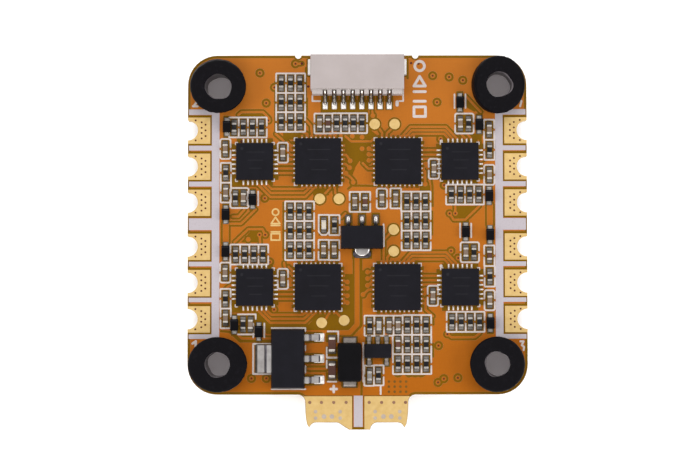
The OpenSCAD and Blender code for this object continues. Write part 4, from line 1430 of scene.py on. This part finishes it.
def make_power_diode():
    """Two wide straps that fold down the ends of the body and in under it."""
    b = make_moulding("power_diode", DIODE_PLASTIC,
                      lambda b: moulded(b.w, b.l, 0.15, 2.2, 1.1, 0.1, 0.3, 0.1))
    straps = Piece("power_diode_metal", DULL_TIN, SOLDER)
    at, h = (b.x, b.y, TOP), b.l / 2
    fold = [(-0.3, 1.1), (0.3, 1.1), (0.4, 1.02), (0.42, 0.85), (0.42, 0.3), (0.36, 0.14), (0.1, 0.1),
            (-0.9, 0.1)]
    for turn in (0, 180):
        straps.add(strap([(h + y, z) for y, z in fold], 1.32, 0.15, 0.04), at, turn, 0)
        straps.add(meniscus((0, h + 0.12, 1.5, 1.0), (0, h + 0.2, 1.3, 0.5), 0, 0.35), at, turn,
                   1, True)
    straps.done("tinned_metal", "power_diode_terminals")


def make_five_lead(name, turn, under):
    """Three gull-wing leads on one side and two on the other."""
    b = node_box(f"{name}_body")
    w, l = (b.l, b.w) if turn else (b.w, b.l)
    make_moulding(name, CHIP, lambda b: moulded(w, l, 0.1, 1.1, 0.55, 0.06), turn, under)
    leads = Piece(f"{name}_metal", DULL_TIN, SOLDER)
    at = (b.x, b.y, BOTTOM if under else TOP)
    points, faces = strap([(l / 2 - 0.1 + y, h) for y, h in gull(0.82, 0.5, 0.14)], 0.38, 0.14, 0.03)
    for side, row in ((0, (-0.95, 0, 0.95)), (180, (-0.95, 0.95))):
        for x in row:
            lead = [(px + x, py, pz) for px, py, pz in points]
            leads.add((lead, faces), at, turn + side, 0, under=under)
            leads.add(meniscus((x, l / 2 + 0.55, 0.56, 0.62), (x, l / 2 + 0.5, 0.4, 0.4), 0, 0.1),
                      at, turn + side, 1, True, under)
    leads.done("tinned_metal", f"{name}_leads")


# ---- plug socket ----
def bevelled_copy(node, name, material, width):
    """A copy of a CAD solid with its flat faces joined up and its edges rounded."""
    obj = bpy.data.objects.new(name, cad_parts[node].data.copy())
    bpy.context.scene.collection.objects.link(obj)
    obj.data.materials.clear()
    obj.data.materials.append(material)
    steps = {"WELD": {"merge_threshold": 1e-6},
             "DECIMATE": {"decimate_type": "DISSOLVE", "angle_limit": math.radians(2)},
             "BEVEL": {"width": width * MM, "segments": 3, "limit_method": "ANGLE",
                       "angle_limit": math.radians(30)}}
    for kind, settings in steps.items():
        modifier = obj.modifiers.new(kind.lower(), kind)
        for key, value in settings.items():
            setattr(modifier, key, value)
    shaped = bpy.data.meshes.new_from_object(
        obj.evaluated_get(bpy.context.evaluated_depsgraph_get()))
    obj.modifiers.clear()
    obj.data = shaped
    shaped.name = name
    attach(obj, "root")
    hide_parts(node)
    return obj


def make_socket():
    """The housing, and eight contacts that come down from it to their pads."""
    housing = bevelled_copy("socket_housing", "socket_housing_nylon", NYLON, 0.06)
    # The thin lip over the contacts is painted paler than the rest: painted light against the shade that
    # the housing's step casts on it.
    housing.data.materials.append(LIT_LIP_NYLON)
    for face in housing.data.polygons:
        if face.center.y < (SOCKET.low[1] + 0.6) * MM:
            face.material_index = 1
    contacts = Piece("socket_contact_metal", CONTACT, BRIGHT_TIN, SHADED_TIN)
    ledge = SOCKET.low[1]
    path = [(13.1, 0.1), (13.2, 0.12), (13.3, 0.2), (ledge - 0.45, 0.55), (ledge - 0.2, 1.1),
            (ledge - 0.05, 1.55), (ledge + 0.1, 1.8), (ledge + 0.3, 1.88), (ledge + 0.6, 1.88),
            (ledge + 3.0, 1.5)]
    widths = [0.24, 0.3, 0.4, 0.42, 0.42, 0.42, 0.3, 0.2, 0.16, 0.16]
    # A wider strap painted with shade, just under the bright one, gives the contact's rolled sides their
    # dark outline.
    dark = strap([(y, z - 0.05) for y, z in path], widths, 0.16, 0.05)
    bright = strap(path, [min(w, 0.24) for w in widths], 0.16, 0.05)
    for b in CONTACTS:
        at = (b.x, 0, TOP)
        contacts.add(dark, at, 0, 2)
        contacts.add(bright, at, 0, 0)
        contacts.add(meniscus((0, 13.0, 0.56, 0.8), (0, 13.0, 0.5, 0.7), 0, 0.07, 0.06), at, 0,
                     1, True)
    contacts.done("tinned_metal", "socket_contacts")
    tabs = Piece("socket_tab_metal", BRIGHT_TIN)
    for b in solids("socket_solder_tabs"):
        at = (b.x, b.y, TOP)
        tabs.add(slab(b.w * 0.8, b.l, 0, b.h, 0.05, 0.05), at, 0, 0)
        tabs.add(meniscus((0, 0, b.w, b.l), (0, 0, b.w * 0.7, b.l * 0.8), 0, 0.3, 0.1), at, 0, 0, True)
    tabs.done("tinned_metal", "socket_solder_tabs")


# ---- underside power parts ----
def make_mosfets():
    for number in range(1, 5):
        body = Piece(f"mosfets_{number}_mouldings", CHIP, CHIP_MARK)
        for b in solids(f"mosfets_{number}"):
            at = (b.x, b.y, BOTTOM)
            body.add(slab(b.w, b.l, 0.0, b.h, 0.06, 0.05), at, under=True)
            dot = disc(-b.w / 2 + 0.45, b.l / 2 - 0.45, 0.14, 16)
            body.add(mark(dot, b.h, 0.004), at, 0, 1, under=True)
        body.done("chip_plastic", f"mosfets_{number}")
    leads = Piece("mosfet_terminals_solder", SOLDER)
    for b in solids("mosfet_terminals"):
        leads.add(meniscus((0, 0, b.w + 0.25, b.l + 0.05), (0, 0, b.w * 0.8, b.l * 0.8), 0, 0.22, 0.05),
                  (b.x, b.y, BOTTOM), 0, 0, True, True)
    leads.done("tinned_metal", "mosfet_terminals")


make_board()
make_motor_pads()
make_battery_pads()
make_test_pads()
for i in range(1, 5):
    make_grommet(i)
    make_square_chip(f"motor_controller_{i}", MCUS[i - 1])
    make_square_chip(f"gate_driver_{i}", DRIVERS[i - 1])
make_chip_leads()
make_chip_parts("resistor", RESISTORS, R0402, "resistor_glaze")
make_chip_parts("capacitor", CAPACITORS, C0402, "tan_ceramic")
make_chip_parts("status_light", [LIGHT], L0402, "light_lens")
make_chip_parts("filter_capacitor", FILTERS, C0603, "brown_ceramic")
make_chip_parts("bulk_capacitor", BULK, C1206, "brown_ceramic", under=True)
make_chip_parts("current_shunt", [node_box("current_shunt_body")], R2512, "resistor_glaze", True, 90)
make_small_diodes()
make_main_regulator()
make_logic_regulator()
make_power_diode()
make_five_lead("five_lead_chip", 0, False)
make_five_lead("current_amplifier", 90, True)
make_socket()
make_mosfets()


# ---- floor, light and camera ----
def make_floor():
    m = Nodes("pale_floor", Roughness=0.8)
    m.colour(m.ramp(m.noise(30, 2), (0.3, (0.93, 0.93, 0.93)), (0.7, (0.95, 0.95, 0.95))))
    m.shader.inputs["Emission Color"].default_value = (1, 0.87, 0.89, 1)
    m.shader.inputs["Emission Strength"].default_value = 0.09
    bpy.ops.mesh.primitive_plane_add(size=3, location=(0, 0, cad_bounds[0][2] - 0.0001))
    floor = bpy.context.object
    floor.name = "floor"
    floor.data.materials.append(m.material)


def make_light(name, place, size, energy, colour):
    """A square soft light that faces the middle of the board."""
    data = bpy.data.lights.new(name, "AREA")
    data.size, data.energy, data.color = size, energy, colour
    light = bpy.data.objects.new(name, data)
    light.location = place
    light.rotation_euler = (-Vector(place)).to_track_quat("-Z", "Y").to_euler()
    bpy.context.scene.collection.objects.link(light)


def make_world(strength):
    world = bpy.data.worlds.new("studio")
    world.use_nodes = True
    background = world.node_tree.nodes["Background"]
    background.inputs["Color"].default_value = (1.0, 0.985, 0.97, 1)
    background.inputs["Strength"].default_value = strength
    bpy.context.scene.world = world


def make_camera():
    """Almost straight above, leaning a little to the battery end, as a long lens sees it."""
    distance, lean, roll = 0.215, math.radians(2.4), math.radians(-0.07)
    view_width = 76.2943 * MM
    target = Vector((-0.82, -0.99, TOP)) * MM
    data = bpy.data.cameras.new("camera")
    data.sensor_width = 36.0
    data.lens = data.sensor_width * distance / view_width
    camera = bpy.data.objects.new("camera", data)
    camera.location = target + distance * Vector((0, -math.sin(lean), math.cos(lean)))
    camera.rotation_euler = Euler((lean, 0, roll), "XYZ")
    bpy.context.scene.collection.objects.link(camera)
    bpy.context.scene.camera = camera


make_floor()
make_light("key", (0.0, 0.35, 0.45), 0.45, 2.0, (1.0, 0.99, 0.98))
for name, place, colour in (("left_fill", (-0.45, -0.05, 0.35), (0.98, 0.99, 1.0)),
                            ("right_fill", (0.45, -0.05, 0.35), (0.98, 0.99, 1.0)),
                            ("front_fill", (0.0, -0.45, 0.35), (1.0, 0.99, 0.98))):
    make_light(name, place, 0.3, 1.6, colour)
make_world(0.8)
make_camera()
bpy.context.scene.view_settings.view_transform = "Standard"
